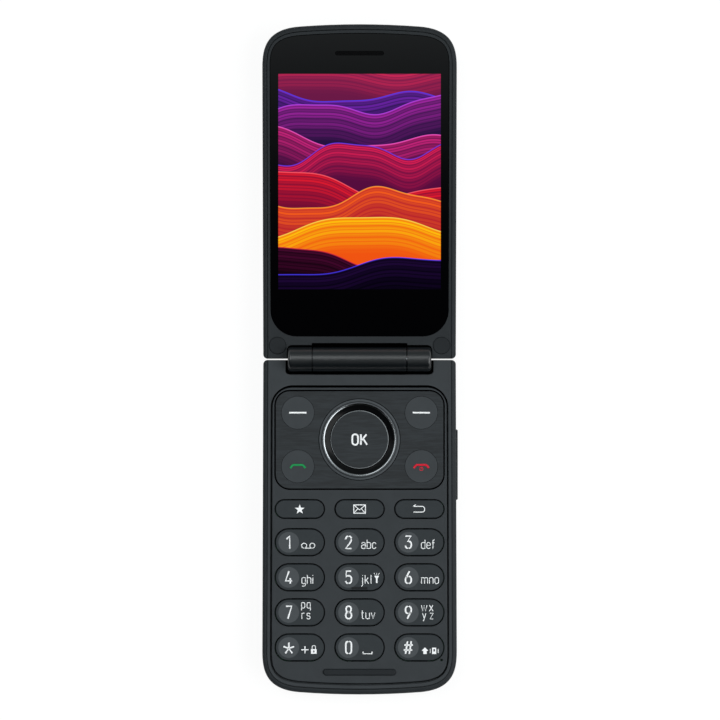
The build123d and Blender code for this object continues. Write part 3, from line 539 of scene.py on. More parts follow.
@dataclass(frozen=True)
class CentreKeyCoat(BrushedCoat):
    """Brushed coat of the centre key, with a painted highlight along its edge."""

    middle: Spot = (0.0, 0.0)
    edge_radius: float = 8.5
    edge_width: float = 0.3
    edge_soft: float = 0.06
    painted_edge_highlight: Colour = (0.27, 0.29, 0.3, 1.0)

    def tint(self, graph: Graph, pattern: Signal) -> Signal:
        """Colour of the coat, and of the painted highlight along its edge.

        Args:
            graph: The material's graph.
            pattern: The brush lines, from 0 to 1.

        Returns:
            The colour.
        """
        across, along = graph.around(self.middle)
        outer = self.edge_radius + self.edge_width
        edge = across.span(along).band(self.edge_radius, outer, self.edge_soft, self.edge_soft)
        # Painted highlight: a lighter ring along the key's edge.
        return graph.blend(edge, super().tint(graph, pattern), self.painted_edge_highlight)


@dataclass(frozen=True)
class RingLacquer(Finish):
    """Black lacquer of the navigation ring, with a satin rim and a bright crest.

    The crest's bright tone is dimmed towards its lower right and its top, as painted shade that follows how
    the light falls.
    """

    middle: Spot
    crest: float
    rim_tone: Colour = Tone.RING_RIM.value
    crest_tone: Colour = Tone.RING_CREST.value
    crest_inner: float = 0.4
    crest_outer: float = 0.2
    crest_rise: float = 0.2
    crest_fall: float = 0.12
    line: float = 11.36
    line_half: float = 0.2
    # How much painted shade dims the crest at its lower right and at its top.
    right_fade: float = 0.45
    top_fade: float = 0.85
    roughness: float = 0.2
    rim_roughness: float = 0.3
    unevenness: float = 0.04
    gloss: float = 0.1
    # Height under which the ring is painted shade, or None.
    gap: Optional[float] = None

    def painted_crest_light(self, across: Signal, along: Signal) -> Signal:
        """How bright the crest is painted around the ring, as painted light and shade.

        Args:
            across: Place across from the ring's middle.
            along: Place along from the ring's middle.

        Returns:
            The share, 0 to 1.
        """
        unit = across.span(along) ** -1.0
        right = ((across - along) * unit).ramp(-0.4, 0.9)
        top = ((along + across * 0.2) * unit).ramp(0.78, 0.98)
        return (1 - self.right_fade * right) * (1 - self.top_fade * top)

    def sockets(self, graph: Graph) -> Sockets:
        """Slope, crest and rim, with a fine dark line around the rim.

        Args:
            graph: The material's graph.

        Returns:
            The sockets' values.
        """
        across, along = graph.around(self.middle)
        span = across.span(along)
        inner, outer = self.crest - self.crest_inner, self.crest + self.crest_outer
        rim = span.ramp(self.crest, outer)
        bright = span.band(inner, outer, self.crest_rise, self.crest_fall)
        half = self.line_half
        line = span.band(self.line - half, self.line + half, half, half)
        base = graph.blend(rim - line, self.tone, self.rim_tone)
        # Painted light and shade: the crest's bright tone is dimmed by its place around the ring.
        lit = graph.blend(bright * self.painted_crest_light(across, along), base, self.crest_tone)
        haze = graph.noise(0.5, detail=3.0)
        # Under the gap height the ring is painted shade: near black, and metallic so that it reflects nothing.
        shadow = graph.painted_shade_below(self.gap)
        satin = rim * (1 - bright) * self.rim_roughness
        return {
            "Base Color": graph.blend(shadow, lit, PAINTED_SHADE_TONE),
            "Metallic": bright.largest(shadow),
            "Roughness": self.roughness + satin + (haze - 0.5) * self.unevenness,
            "Specular IOR Level": self.gloss,
        }


@dataclass(frozen=True)
class Lacquer(Finish):
    """Dark satin lacquer of the hinge, very slightly wavy, and rough and painted near black as shade below a
    height.
    """

    roughness: float = 0.33
    dull_roughness: float = 0.9
    unevenness: float = 0.05
    gloss: float = 0.2
    wave: float = 0.0006
    # Height under which the barrel is painted shade.
    low: float = 10.5

    def sockets(self, graph: Graph) -> Sockets:
        """Lacquer where the barrel stands out, and painted shade below.

        Args:
            graph: The material's graph.

        Returns:
            The sockets' values.
        """
        wave = graph.noise(1.6)
        dust = (graph.noise(0.3) - 0.5) * self.unevenness
        # Below low the colour is painted shade: near black, and metallic so that it reflects nothing.
        out = graph.axis("Z").ramp(self.low, self.low + 0.1)
        return {
            "Base Color": graph.blend(out, PAINTED_SHADE_TONE, graph.shades(wave, self.tone, 0.85, 1.15)),
            "Metallic": 1 - out,
            "Roughness": self.dull_roughness - out * (self.dull_roughness - self.roughness) + dust,
            "Normal": graph.relief(wave, self.wave),
            "Specular IOR Level": self.gloss,
            "Coat Weight": out,
            "Coat Roughness": self.roughness,
        }


@dataclass(frozen=True)
class Metal(Surface):
    """Plain metal with a drawn or ground surface."""

    roughness: float = 0.3
    unevenness: float = 0.2
    darkest: float = 0.85
    lightest: float = 1.1
    depth: float = 0.002
    line_size: Place = (3.0, 0.12, 3.0)

    def pattern(self, graph: Graph) -> Signal:
        """Drawn lines, from 0 to 1."""
        return graph.noise(self.line_size, detail=3.0)

    def sockets(self, graph: Graph) -> Sockets:
        """Metal along its lines."""
        return {**super().sockets(graph), "Metallic": 1.0}


@dataclass(frozen=True)
class CircuitBoard(Finish):
    """Solder mask over copper tracks."""

    track_tone: Colour = Tone.TRACK.value
    cell: float = 1.8
    tracks_per_cell: float = 6.0
    roughness: float = 0.35
    depth: float = 0.02

    def sockets(self, graph: Graph) -> Sockets:
        """Mask and raised tracks.

        Args:
            graph: The material's graph.

        Returns:
            The sockets' values.
        """
        sockets = {"Vector": graph.place(), "Scale": 1 / (self.cell * MM)}
        cells = graph.node("ShaderNodeTexVoronoi", {"distance": "MANHATTAN"}, sockets)
        tracks = (cells * self.tracks_per_cell).fraction().ramp(0.55, 0.7)
        return {
            "Base Color": graph.blend(tracks, self.tone, self.track_tone),
            "Roughness": self.roughness - tracks * 0.08,
            "Normal": graph.relief(tracks, self.depth),
        }


@dataclass(frozen=True)
class ClearLens(Surface):
    """Dark-looking clear plastic over something black, with a faint haze."""

    roughness: float = 0.06
    unevenness: float = 0.02
    darkest: float = 0.8
    lightest: float = 1.2
    haze: float = 2.0
    coat: float = 0.5
    coat_roughness: float = 0.03

    def pattern(self, graph: Graph) -> Signal:
        """Haze, from 0 to 1."""
        return graph.noise(self.haze)

    def sockets(self, graph: Graph) -> Sockets:
        """Plastic under a clear coat."""
        coat = {"Coat Weight": self.coat, "Coat Roughness": self.coat_roughness}
        return {**super().sockets(graph), **coat}


@dataclass(frozen=True)
class Ink(Surface):
    """Printed or laser-cut sign that light shows through, with fine specks."""

    gloss: float = 0.3
    speck: float = 0.15

    def pattern(self, graph: Graph) -> Signal:
        """Specks, from 0 to 1."""
        return graph.noise(self.speck)


@dataclass(frozen=True)
class Wave:
    """One rolling band of the landscape on the screen.

    Heights and lengths are shares of the screen's height and width, and colours are those of a screen.
    """

    height: float
    swing: float
    length: float
    phase: float
    lean: float
    tone: Screen
    depth_tone: Screen
    crest_tone: Screen
    stripes: float

    def paint(self, graph: Graph, right: Signal, up: Signal, behind: Signal) -> Signal:
        """Puts the band before what is behind it.

        Args:
            graph: The material's graph.
            right: Place across the screen, 0 to 1.
            up: Place up the screen, 0 to 1.
            behind: Colour of what is behind.

        Returns:
            The colour of both.
        """
        deep = colour(*self.depth_tone)
        turn = right * (math.tau / self.length) + self.phase
        swell = turn.sine() * self.swing + (turn * 2.3 + self.phase).sine() * (self.swing * 0.22)
        sink = (swell + self.height + right * self.lean) - up
        broad = ((sink ** 0.7) * (self.stripes * 4) + self.phase).sine().ramp(-0.6, 1.0)
        fine = ((sink ** 0.8) * (self.stripes * 13)).sine().ramp(0.1, 0.95)
        body = graph.blend(sink.ramp(0.0, 0.17, smooth=False), colour(*self.tone), deep)
        for stripes, share in ((broad, 0.5), (fine, 0.6)):
            body = graph.blend(stripes * share, body, deep)
        body = graph.blend(1 - sink.ramp(0.002, 0.008), body, colour(*self.crest_tone))
        return graph.blend(sink.ramp(0.0, 0.003), behind, body)


LANDSCAPE = (
    Wave(1.05, 0.03, 1.2, 0.7, 0.02, (214, 34, 84), (104, 10, 66), (250, 110, 150), 24),
    Wave(0.91, 0.03, 1.0, 2.6, -0.03, (110, 28, 170), (22, 6, 60), (70, 60, 240), 20),
    Wave(0.82, 0.035, 0.9, 0.4, 0.06, (160, 32, 160), (34, 6, 60), (190, 70, 240), 22),
    Wave(0.72, 0.04, 1.1, 2.3, -0.05, (206, 34, 124), (60, 6, 60), (240, 90, 200), 24),
    Wave(0.62, 0.045, 0.8, 4.6, 0.05, (224, 28, 84), (84, 6, 60), (70, 60, 240), 26),
    Wave(0.51, 0.05, 1.2, 1.2, -0.04, (236, 26, 44), (110, 8, 50), (250, 96, 110), 24),
    Wave(0.41, 0.045, 0.9, 3.4, 0.03, (250, 96, 22), (176, 20, 44), (255, 160, 60), 22),
    Wave(0.29, 0.045, 1.3, 5.4, 0.02, (255, 196, 10), (240, 84, 16), (255, 226, 90), 20),
    Wave(0.17, 0.035, 1.0, 0.9, -0.05, (70, 8, 46), (6, 1, 8), (214, 40, 60), 22),
    Wave(0.09, 0.03, 1.2, 3.9, 0.04, (30, 8, 54), (2, 1, 6), (70, 60, 240), 20),
)
"""Bands of the screen's picture, from far to near. The first one is cut by its top edge."""


@dataclass(frozen=True)
class ScreenGlass(Finish):
    """Black glass with the lit screen behind it."""

    left: float = -24.4
    low: float = 21.0
    width: float = 48.8
    height: float = 64.7
    waves: tuple[Wave, ...] = LANDSCAPE
    sky_top: Colour = colour(6, 2, 20)
    sky_low: Colour = colour(52, 14, 96)
    edge: float = 0.0012
    roughness: float = 0.008
    gloss: float = 0.5

    def sockets(self, graph: Graph) -> Sockets:
        """Glass, and the lit landscape in the screen's window.

        Args:
            graph: The material's graph.

        Returns:
            The sockets' values.
        """
        right, up = graph.around((self.left, self.low))
        right, up = right * (1 / self.width), up * (1 / self.height)
        inside = right.band(0.0, 1.0, self.edge, self.edge) * up.band(0.0, 1.0, self.edge, self.edge)
        picture = graph.blend(up.ramp(0.55, 1.0), self.sky_low, self.sky_top)
        for wave in self.waves:
            picture = wave.paint(graph, right, up, picture)
        return {
            "Base Color": graph.blend(inside, self.tone, BLACK),
            "Roughness": self.roughness + graph.noise(12.0) * self.roughness,
            "Specular IOR Level": self.gloss,
            "Emission Color": graph.blend(inside, BLACK, picture),
            "Emission Strength": 1.0,
        }


@dataclass(frozen=True)
class Mark:
    """A line of a sign, or a filled outline where it has no weight.

    Its words are corners, each x y or x y radius, with commas between them, and "closed" at the end of a
    line that joins up. It starts at x, y from the key's middle, and size is the length of its unit.
    """

    words: str
    x: float = 0.0
    y: float = 0.0
    weight: float = 0.0
    size: float = 1.0

    @property
    def closed(self) -> bool:
        """Whether the line joins up."""
        return not self.weight or self.words.endswith("closed")

    def points(self, steps: int = 5) -> list[Spot]:
        """Points along the line, with its corners rounded.

        Args:
            steps: Pieces in each rounded corner.

        Returns:
            The points from the key's middle.
        """
        parts = [part.split() + ["0"] for part in self.words.replace(", closed", "").split(",")]
        corners = [tuple(float(number) for number in part[:3]) for part in parts]
        found: list[Spot] = []
        ends = () if self.closed else (0, len(corners) - 1)
        for n, (x, y, radius) in enumerate(corners):
            if radius == 0 or n in ends:
                found.append((x, y))
                continue
            here = Vector((x, y))
            before = Vector(corners[n - 1][:2]) - here
            after = Vector(corners[(n + 1) % len(corners)][:2]) - here
            start = before.normalized() * min(radius, before.length)
            end = after.normalized() * min(radius, after.length)
            for step in range(steps + 1):
                turn = math.pi / 2 * step / steps
                point = here + start * (1 - math.sin(turn)) + end * (1 - math.cos(turn))
                found.append((point.x, point.y))
        return [(self.x + x * self.size, self.y + y * self.size) for x, y in found]


@dataclass(frozen=True)
class Glyph:
    """A letter or number: its width and its lines' words, with the capital height as 1."""

    width: float
    lines: str


GLYPHS: dict[str, Glyph] = {
    "0": Glyph(0.45, "0 0 .23, .45 0 .23, .45 1 .23, 0 1 .23, closed"),
    "1": Glyph(0.36, "0 .76, .25 1, .25 0"),
    "2": Glyph(0.46, "0 .74, 0 1 .24, .46 1 .24, .46 .6 .2, 0 0, .46 0"),
    "3": Glyph(0.46, "0 1, .44 1, .17 .58, .46 .6 .24, .46 0 .26, 0 0 .24, 0 .24"),
    "4": Glyph(0.52, ".27 1, 0 .22, .52 .22; .38 .44, .38 0"),
    "5": Glyph(0.45, ".43 1, .05 1, .02 .54, .08 .62, .45 .64 .24, .45 0 .26, 0 0 .23, 0 .22"),
    "6": Glyph(0.46, "0 0 .24, .46 0 .24, .46 .6 .24, 0 .6 .24, closed; .32 1, .04 .46"),
    "7": Glyph(0.45, "0 1, .45 1, .15 0"),
    "8": Glyph(
        0.46,
        "0 0 .23, .46 0 .23, .46 .53 .22, 0 .53 .22, closed; "
        ".03 .53 .19, .43 .53 .19, .43 1 .2, .03 1 .2, closed",
    ),
    "9": Glyph(0.46, "0 .4 .24, .46 .4 .24, .46 1 .24, 0 1 .24, closed; .42 .54, .14 0"),
    "*": Glyph(0.84, ".42 .42, .42 .9; 0 .58, .42 .42, .84 .58; .14 .04, .42 .42, .7 .04"),
    "#": Glyph(0.74, ".14 0, .3 1; .44 0, .6 1; 0 .3, .68 .3; .06 .7, .74 .7"),
    "+": Glyph(0.7, "0 .4, .7 .4; .35 .05, .35 .75"),
    "O": Glyph(0.54, "0 0 .25, .54 0 .25, .54 1 .25, 0 1 .25, closed"),
    "K": Glyph(0.58, "0 0, 0 1; .54 1, 0 .36; .2 .6, .58 0"),
    "a": Glyph(
        0.42,
        ".03 .58, .03 .7 .12, .42 .7 .16, .42 0; "
        ".42 .42, 0 .42 .16, 0 0 .16, .42 0 .16, .42 .2",
    ),
    "b": Glyph(0.42, "0 0, 0 1; 0 .2, 0 0 .16, .42 0 .18, .42 .7 .18, 0 .7 .16, 0 .5"),
    "c": Glyph(0.38, ".38 .52, .38 .7 .18, 0 .7 .18, 0 0 .18, .38 0 .18, .38 .18"),
    "d": Glyph(0.42, ".42 0, .42 1; .42 .2, .42 0 .16, 0 0 .18, 0 .7 .18, .42 .7 .16, .42 .5"),
    "e": Glyph(0.4, "0 .36, .4 .36, .4 .7 .18, 0 .7 .18, 0 0 .18, .38 0 .18, .38 .14"),
    "f": Glyph(0.3, ".3 1, .1 1 .14, .1 0; 0 .68, .28 .68"),
    "g": Glyph(
        0.42,
        ".42 .7, .42 -.28 .18, .02 -.28; "
        ".42 .5, .42 .7 .16, 0 .7 .18, 0 0 .18, .42 0 .16, .42 .2",
    ),
    "h": Glyph(0.42, "0 0, 0 1; 0 .46, 0 .7 .18, .42 .7 .18, .42 0"),
    "i": Glyph(0.02, ".01 0, .01 .7; .01 .9, .01 1"),
    "j": Glyph(0.14, ".12 .7, .12 -.28 .14, -.04 -.28; .12 .9, .12 1"),
    "k": Glyph(0.4, "0 0, 0 1; .36 .7, 0 .26; .13 .42, .4 0"),
    "l": Glyph(0.02, ".01 0, .01 1"),
    "m": Glyph(0.7, "0 0, 0 .7; 0 .5, 0 .7 .16, .35 .7 .16, .35 0; .35 .5, .35 .7 .16, .7 .7 .16, .7 0"),
    "n": Glyph(0.42, "0 0, 0 .7; 0 .46, 0 .7 .18, .42 .7 .18, .42 0"),
    "o": Glyph(0.42, "0 0 .18, .42 0 .18, .42 .7 .18, 0 .7 .18, closed"),
    "p": Glyph(0.42, "0 .7, 0 -.28; 0 .2, 0 0 .16, .42 0 .18, .42 .7 .18, 0 .7 .16, 0 .5"),
    "q": Glyph(0.42, ".42 .7, .42 -.28; .42 .2, .42 0 .16, 0 0 .18, 0 .7 .18, .42 .7 .16, .42 .5"),
    "r": Glyph(0.3, "0 0, 0 .7; 0 .46, 0 .7 .2, .3 .7"),
    "s": Glyph(
        0.38,
        ".36 .56, .36 .7 .14, .02 .7 .14, .02 .36 .14, .38 .36 .14, "
        ".38 0 .14, 0 0 .14, 0 .14",
    ),
    "t": Glyph(0.3, ".1 .96, .1 0 .14, .3 0; 0 .68, .28 .68"),
    "u": Glyph(0.42, "0 .7, 0 0 .18, .42 0 .18, .42 .2; .42 0, .42 .7"),
    "v": Glyph(0.42, "0 .7, .21 0, .42 .7"),
    "w": Glyph(0.66, "0 .7, .16 0, .33 .7, .5 0, .66 .7"),
    "x": Glyph(0.42, "0 .7, .42 0; 0 0, .42 .7"),
    "y": Glyph(0.42, "0 .7, .22 .02; .42 .7, .1 -.28"),
    "z": Glyph(0.4, "0 .7, .4 .7, 0 0, .4 0"),
}

BASELINE = -1.88
"""Foot of the numbers and letters, from the middle of a key."""


def word(
    text: str,
    x: float = 0.6,
    y: float = BASELINE,
    height: float = 2.6,
    weight: float = 0.25,
    gap: float = 0.21,
) -> list[Mark]:
    """Writes a word.

    Args:
        text: The word.
        x: Its left edge from the key's middle.
        y: Its baseline from the key's middle.
        height: Height of its capitals.
        weight: Width of its lines.
        gap: Room between two letters, as a share of the height.

    Returns:
        Its marks.
    """
    marks: list[Mark] = []
    for letter in text:
        glyph = GLYPHS[letter]
        marks += [Mark(line, x, y, weight, height) for line in glyph.lines.split("; ")]
        x += (glyph.width + gap) * height
    return marks


OK_WORD = word("OK", -2.2, -1.575, 3.15, 0.58, 0.28)
DASH = [Mark("-2.6 0, 2.6 0", weight=0.56)]
HANDSET = [Mark("-2.25 -.5, -1.5 .42 .3, 1.5 .42 .3, 2.25 -.5", weight=0.7)]
SWITCH = [
    Mark("-.5 .5 .5, .5 .5 .5, .5 -.5 .5, -.5 -.5 .5, closed", 0.0, -0.75, 0.2),
    Mark("0 .5, 0 -.1", 0.0, -0.75, 0.2),
]
ENVELOPE = [
    Mark("-1.75 -1.25, 1.75 -1.25, 1.75 1.25, -1.75 1.25, closed", weight=0.42),
    Mark("-1.7 1.2, 0 -.25, 1.7 1.2", weight=0.3),
    Mark("-1.7 -1.2, -.5 .15", weight=0.26),
    Mark("1.7 -1.2, .5 .15", weight=0.26),
]
STAR = [
    Mark(
        "0 1.55, -.364 .502, -1.474 .479, -.59 -.192, -.911 -1.254, "
        "0 -.62, .911 -1.254, .59 -.192, 1.474 .479, .364 .502",
        y=-0.1,
    )
]
BACK_ARROW = [
    Mark("-1.75 .8, 1.6 .8 .8, 1.6 -.9 .8, -1.75 -.9", weight=0.3),
    Mark("-1.05 1.35, -1.8 .8", weight=0.3),
]
SPOOL = "-.75 0 .75, -.75 1.5 .75, .75 1.5 .75, .75 0 .75, closed"
SPOOLS = [
    Mark(SPOOL, 1.3, -1.76, 0.26),
    Mark(SPOOL, 3.75, -1.76, 0.26),
    Mark("1.3 0, 3.75 0", 0.0, -1.76, 0.26),
]
TORCH = [
    Mark(words, 5.15, -0.4, weight, 0.85)
    for words, weight in (
        ("-.28 -1.5, .28 -1.5, .28 .1, .75 .75, .75 1.05, -.75 1.05, -.75 .75, -.28 .1", 0.0),
        ("-.55 1.4, -.935 2", 0.16),
        ("0 1.4, 0 2", 0.16),
        (".55 1.4, .935 2", 0.16),
    )
]
PADLOCK = [
    Mark("-.85 -.75, .85 -.75, .85 .65, -.85 .65", 4.2, -1.13),
    Mark("-.2 -.35, .2 -.35, .2 .25, -.2 .25", 4.2, -1.13),
    Mark("-.5 .6, -.5 1.75 .5, .5 1.75 .5, .5 .6", 4.2, -1.13, 0.24),
]
SPACE = [Mark("-1.35 .65, -1.35 0, 1.35 0, 1.35 .65", 2.4, BASELINE, 0.36)]
SHIFT = [
    Mark("-.5 -1, .5 -1, .5 -.05, 1 -.05, 0 1, -1 -.05, -.5 -.05", 1.7, -0.95),
    Mark("-.62 -1, .62 -1, .62 .9, -.62 .9", 4.45, -0.95),
    Mark("-.22 -.25, .22 -.25, .22 .5, -.22 .5", 4.45, -0.95),
    Mark("-1.2 -.7, -1.2 .55", 4.45, -0.95, 0.2),
    Mark("1.2 -.7, 1.2 .55", 4.45, -0.95, 0.2),
]
LABELS: dict[str, tuple[str, list[Mark]]] = {
    "key_1": ("1", SPOOLS),
    "key_2": ("2", word("abc")),
    "key_3": ("3", word("def")),
    "key_4": ("4", word("ghi")),
    "key_5": ("5", word("jkl", gap=0.27) + TORCH),
    "key_6": ("6", word("mno", 0.66)),
    "key_7": ("7", word("pq", 0.52, 1.3, 2.36, 0.26, 0.28) + word("rs", 0.62, -1.95, 2.5, 0.26, 0.3)),
    "key_8": ("8", word("tuv", 0.54)),
    "key_9": ("9", word("wx", 0.6, 0.38, 2.56, 0.28, 0.28) + word("yz", 0.95, -1.95, 2.44, 0.26, 0.5)),
    "key_star": ("*", word("+", 0.5, height=3.0, weight=0.36) + PADLOCK),
    "key_0": ("0", SPACE),
    "key_hash": ("#", SHIFT),
}


def middle(node: str) -> Spot:
    """Middle of a CAD node from above, in millimetres."""
    low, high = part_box(node)
    return ((low.x + high.x) / 2 / MM, (low.y + high.y) / 2 / MM)


def top(node: str) -> float:
    """Highest point of a CAD node, in millimetres."""
    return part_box(node)[1].z / MM


@dataclass
class Sign:
    """A flat sign on a key, drawn mark by mark and then made one thin piece."""

    name: str
    body: str
    marks: Sequence[Mark]
    face: float
    thickness: float = 0.02

    def draw(self, filled: bool) -> list[bpy.types.Object]:
        """Makes the lines or the filled outlines, over the key's middle at height 0.

        Args:
            filled: Whether the outlines are made.

        Returns:
            The mesh's object, or nothing where the sign has no such marks.
        """
        marks = [mark for mark in self.marks if filled == (mark.weight == 0)]
        if not marks:
            return []
        bpy.ops.curve.primitive_bezier_curve_add(location=(0.0, 0.0, 0.0))
        drawn = bpy.context.object
        curve = drawn.data
        curve.splines.clear()
        curve.dimensions = "2D" if filled else "3D"
        x, y = middle(self.body)
        for mark in marks:
            points = mark.points()
            spline = curve.splines.new("POLY")
            spline.points.add(len(points) - 1)
            for point, (right, up) in zip(spline.points, points):
                point.co = ((x + right) * MM, (y + up) * MM, 0.0, 1.0)
                point.radius = 1.0 if filled else mark.weight / 2 * MM
            spline.use_cyclic_u = mark.closed
        if filled:
            curve.fill_mode = "BOTH"
            curve.extrude = self.thickness / 2 * MM
            bpy.ops.object.convert(target="MESH")
            return [drawn]
        curve.bevel_depth = 1.0
        curve.bevel_resolution = 1
        curve.use_fill_caps = True
        bpy.ops.object.convert(target="MESH")
        bpy.ops.object.mode_set(mode="EDIT")
        bpy.ops.mesh.select_all(action="SELECT")
        flat = (1.0, 1.0, self.thickness / max(mark.weight for mark in marks))
        bpy.ops.transform.resize(value=flat, center_override=(0.0, 0.0, 0.0))
        bpy.ops.object.mode_set(mode="OBJECT")
        return [drawn]

    def build(self, ink: Ink) -> None:
        """Makes the sign one mesh, parented to an empty named after its key.

        Args:
            ink: Its finish.
        """
        bpy.ops.object.select_all(action="DESELECT")
        made = self.draw(filled=False) + self.draw(filled=True)
        bpy.ops.object.select_all(action="DESELECT")
        for part in made:
            part.select_set(True)
        bpy.context.view_layer.objects.active = made[0]
        if len(made) > 1:
            bpy.ops.object.join()
        sign = bpy.context.view_layer.objects.active
        bpy.ops.object.mode_set(mode="EDIT")
        bpy.ops.mesh.select_all(action="SELECT")
        bpy.ops.transform.translate(value=(0.0, 0.0, self.face * MM))
        bpy.ops.mesh.normals_make_consistent(inside=False)
        bpy.ops.object.mode_set(mode="OBJECT")
        sign.name = self.name
        sign.data.name = self.name
        sign.data.materials.clear()
        sign.data.materials.append(ink.material())
        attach(sign, self.body)
        log.info("%s: %d faces on %s", self.name, len(sign.data.polygons), self.body)


@dataclass
class Assembly:
    """Some of the telephone's pieces, in their finishes."""

    nodes: dict[str, bpy.types.Object]

    def dress(self, finish: Finish, *names: str) -> None:
        """Gives CAD nodes one material.

        Args:
            finish: Their finish.
            *names: The nodes.
        """
        material = finish.material()
        for name in names:
            mesh = self.nodes[name].data
            mesh.materials.clear()
            mesh.materials.append(material)
            log.info("%s: %s", name, material.name)


@dataclass
class Housings(Assembly):
    """Mouldings of both halves, with what is fastened to their outsides."""

    # Boxes painted near black as shade: the notches around the barrel, and the seat around the keypad panel,
    # whose lip reaches past the panel's top edge as a painted shadow.
    base_notch: Box = ((-22.25, -4.5, 3.6), (22.25, 5.6, 11.0))
    flip_notch: Box = ((-22.5, -5.6, 3.6), (22.5, 5.6, 10.32))
    knuckles: Box = ((-21.7, -6.0, 9.3), (21.7, 3.85, 15.5))
    seat_taper: float = 0.1
    seat_start: float = 8.0
    painted_shadow_lip: float = 0.56
    seat_heights: Spot = (9.0, 10.6)

    def build(self) -> None:
        """Dresses the housings, the side fittings and the hinge."""
        low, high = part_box("keypad_panel")
        half = high.x / MM - self.seat_taper
        start, end = low.y / MM + self.seat_start, high.y / MM + self.painted_shadow_lip
        seat = ((-half, start, self.seat_heights[0]), (half, end, self.seat_heights[1]))
        base = {"notch": self.base_notch, "seat": seat}
        flip = {"notch": self.flip_notch, "knuckles": self.knuckles}
        for node, tone, hinge in (
            ("base_rear_housing", Tone.REAR, base),
            ("base_front_housing", Tone.HOUSING, base),
            ("flip_outer_cover", Tone.FLIP_COVER, flip),
            ("flip_front_frame", Tone.FLIP_FRAME, flip),
        ):
            self.dress(HingedMoulding(f"{node}_plastic", tone.value, **hinge), node)
        self.dress(Moulding("battery_cover_plastic", Tone.REAR.value), "battery_cover")
        rubber = Moulding("screw_cover_rubber", Tone.SCREW_COVER.value, roughness=0.66, grain=0.3)
        self.dress(rubber, "screw_covers")
        rubber = Moulding("bumper_rubber", Tone.BUMPER.value, roughness=0.7, grain=0.3)
        self.dress(rubber, "closing_bumper")
        self.dress(Moulding("side_key_plastic", Tone.SIDE_KEY.value), "volume_rocker")
        self.dress(Lacquer("hinge_lacquer", Tone.BARREL.value), "hinge_barrel")
        self.dress(Metal("socket_steel", Tone.STEEL.value), "usb_port")
        self.dress(Moulding("socket_plastic", Tone.DARK.value, roughness=0.4), "audio_jack")


@dataclass
class Screens(Assembly):
    """Glass of both screens, the camera and the listening slot."""

    def build(self) -> None:
        """Dresses what the screens are made of."""
        self.dress(ScreenGlass("screen_glass_black", Tone.GLASS.value), "screen_glass")
        self.dress(ClearLens("outer_window_black", Tone.WINDOW.value), "outer_window", "camera_window")
        self.dress(ClearLens("flash_lens_clear", Tone.FLASH.value, roughness=0.25), "flash_lens")
        mesh = {"roughness": 0.8, "gloss": 0.05, "grain": 0.3, "depth": 0.03}
        self.dress(Moulding("earpiece_mesh_black", Tone.SLOT.value, **mesh), "earpiece_mesh")


@dataclass
class Inner(Assembly):
    """Parts that the housings hide."""

    def build(self) -> None:
        """Dresses the hidden parts."""
        board = CircuitBoard("circuit_board", Tone.BOARD.value)
        self.dress(board, "main_board", "flip_board", "volume_switches")
        steel = ("base_screws", "flip_screws", "card_holder", "hinge_spring_unit", "hinge_cam")
        self.dress(Metal("inner_steel", Tone.STEEL.value), *steel, "vibration_motor", "dome_sheet")
        self.dress(Metal("antenna_copper", Tone.COPPER.value), "antenna", "hinge_flex")
        self.dress(Moulding("battery_wrap", Tone.BATTERY.value, roughness=0.45), "battery")
        dark = ("loudspeaker", "display_module", "earpiece", "outer_display", "camera_module")
        self.dress(Moulding("inner_dark", Tone.DARK.value, roughness=0.55), *dark, "hinge_bush")
        self.dress(Moulding("key_mat_rubber", Tone.KEY_MAT.value, roughness=0.7), "key_mat", "nav_ring_pad")


@dataclass
class Navigation(Assembly):
    """Plate with its ring, the centre key and the four corner keys.

    The gap of each is the height under which its sides are painted as shade, where no light reaches.
    """

    plate_gap: float = 10.37
    corner_gap: float = 10.32
    ring_gap: float = 10.0
    centre_gap: float = 10.1
    crest_inset: float = 1.8

    def build(self) -> None:
        """Dresses the keys and prints their signs."""
        self.dress(BrushedCoat("plate_coat", Tone.PLATE.value, gap=self.plate_gap), "nav_plate")
        corner = Moulding("corner_key_plastic", Tone.CORNER_KEY.value, gap=self.corner_gap)
        self.dress(corner, "left_soft_key", "right_soft_key", "call_key", "end_key")
        place = middle("nav_ring")
        low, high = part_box("nav_ring")
        crest = (high.x - low.x) / 2 / MM - self.crest_inset
        ring = RingLacquer("ring_lacquer", Tone.RING_SLOPE.value, place, crest, gap=self.ring_gap)
        self.dress(ring, "nav_ring")
        centre = CentreKeyCoat("centre_key_coat", Tone.PLATE.value, gap=self.centre_gap, middle=place)
        self.dress(centre, "ok_key")
        white = Ink("ink_white_navigation", Tone.WHITE.value)
        for key, name, marks, ink in (
            ("left_soft_key", "dash", DASH, white),
            ("right_soft_key", "dash", DASH, white),
            ("ok_key", "word", OK_WORD, white),
            ("call_key", "handset", HANDSET, Ink("ink_green", Tone.GREEN.value)),
            ("end_key", "handset", HANDSET + SWITCH, Ink("ink_red", Tone.RED.value)),
        ):
            Sign(f"{key}_{name}", key, marks, top(key)).build(ink)


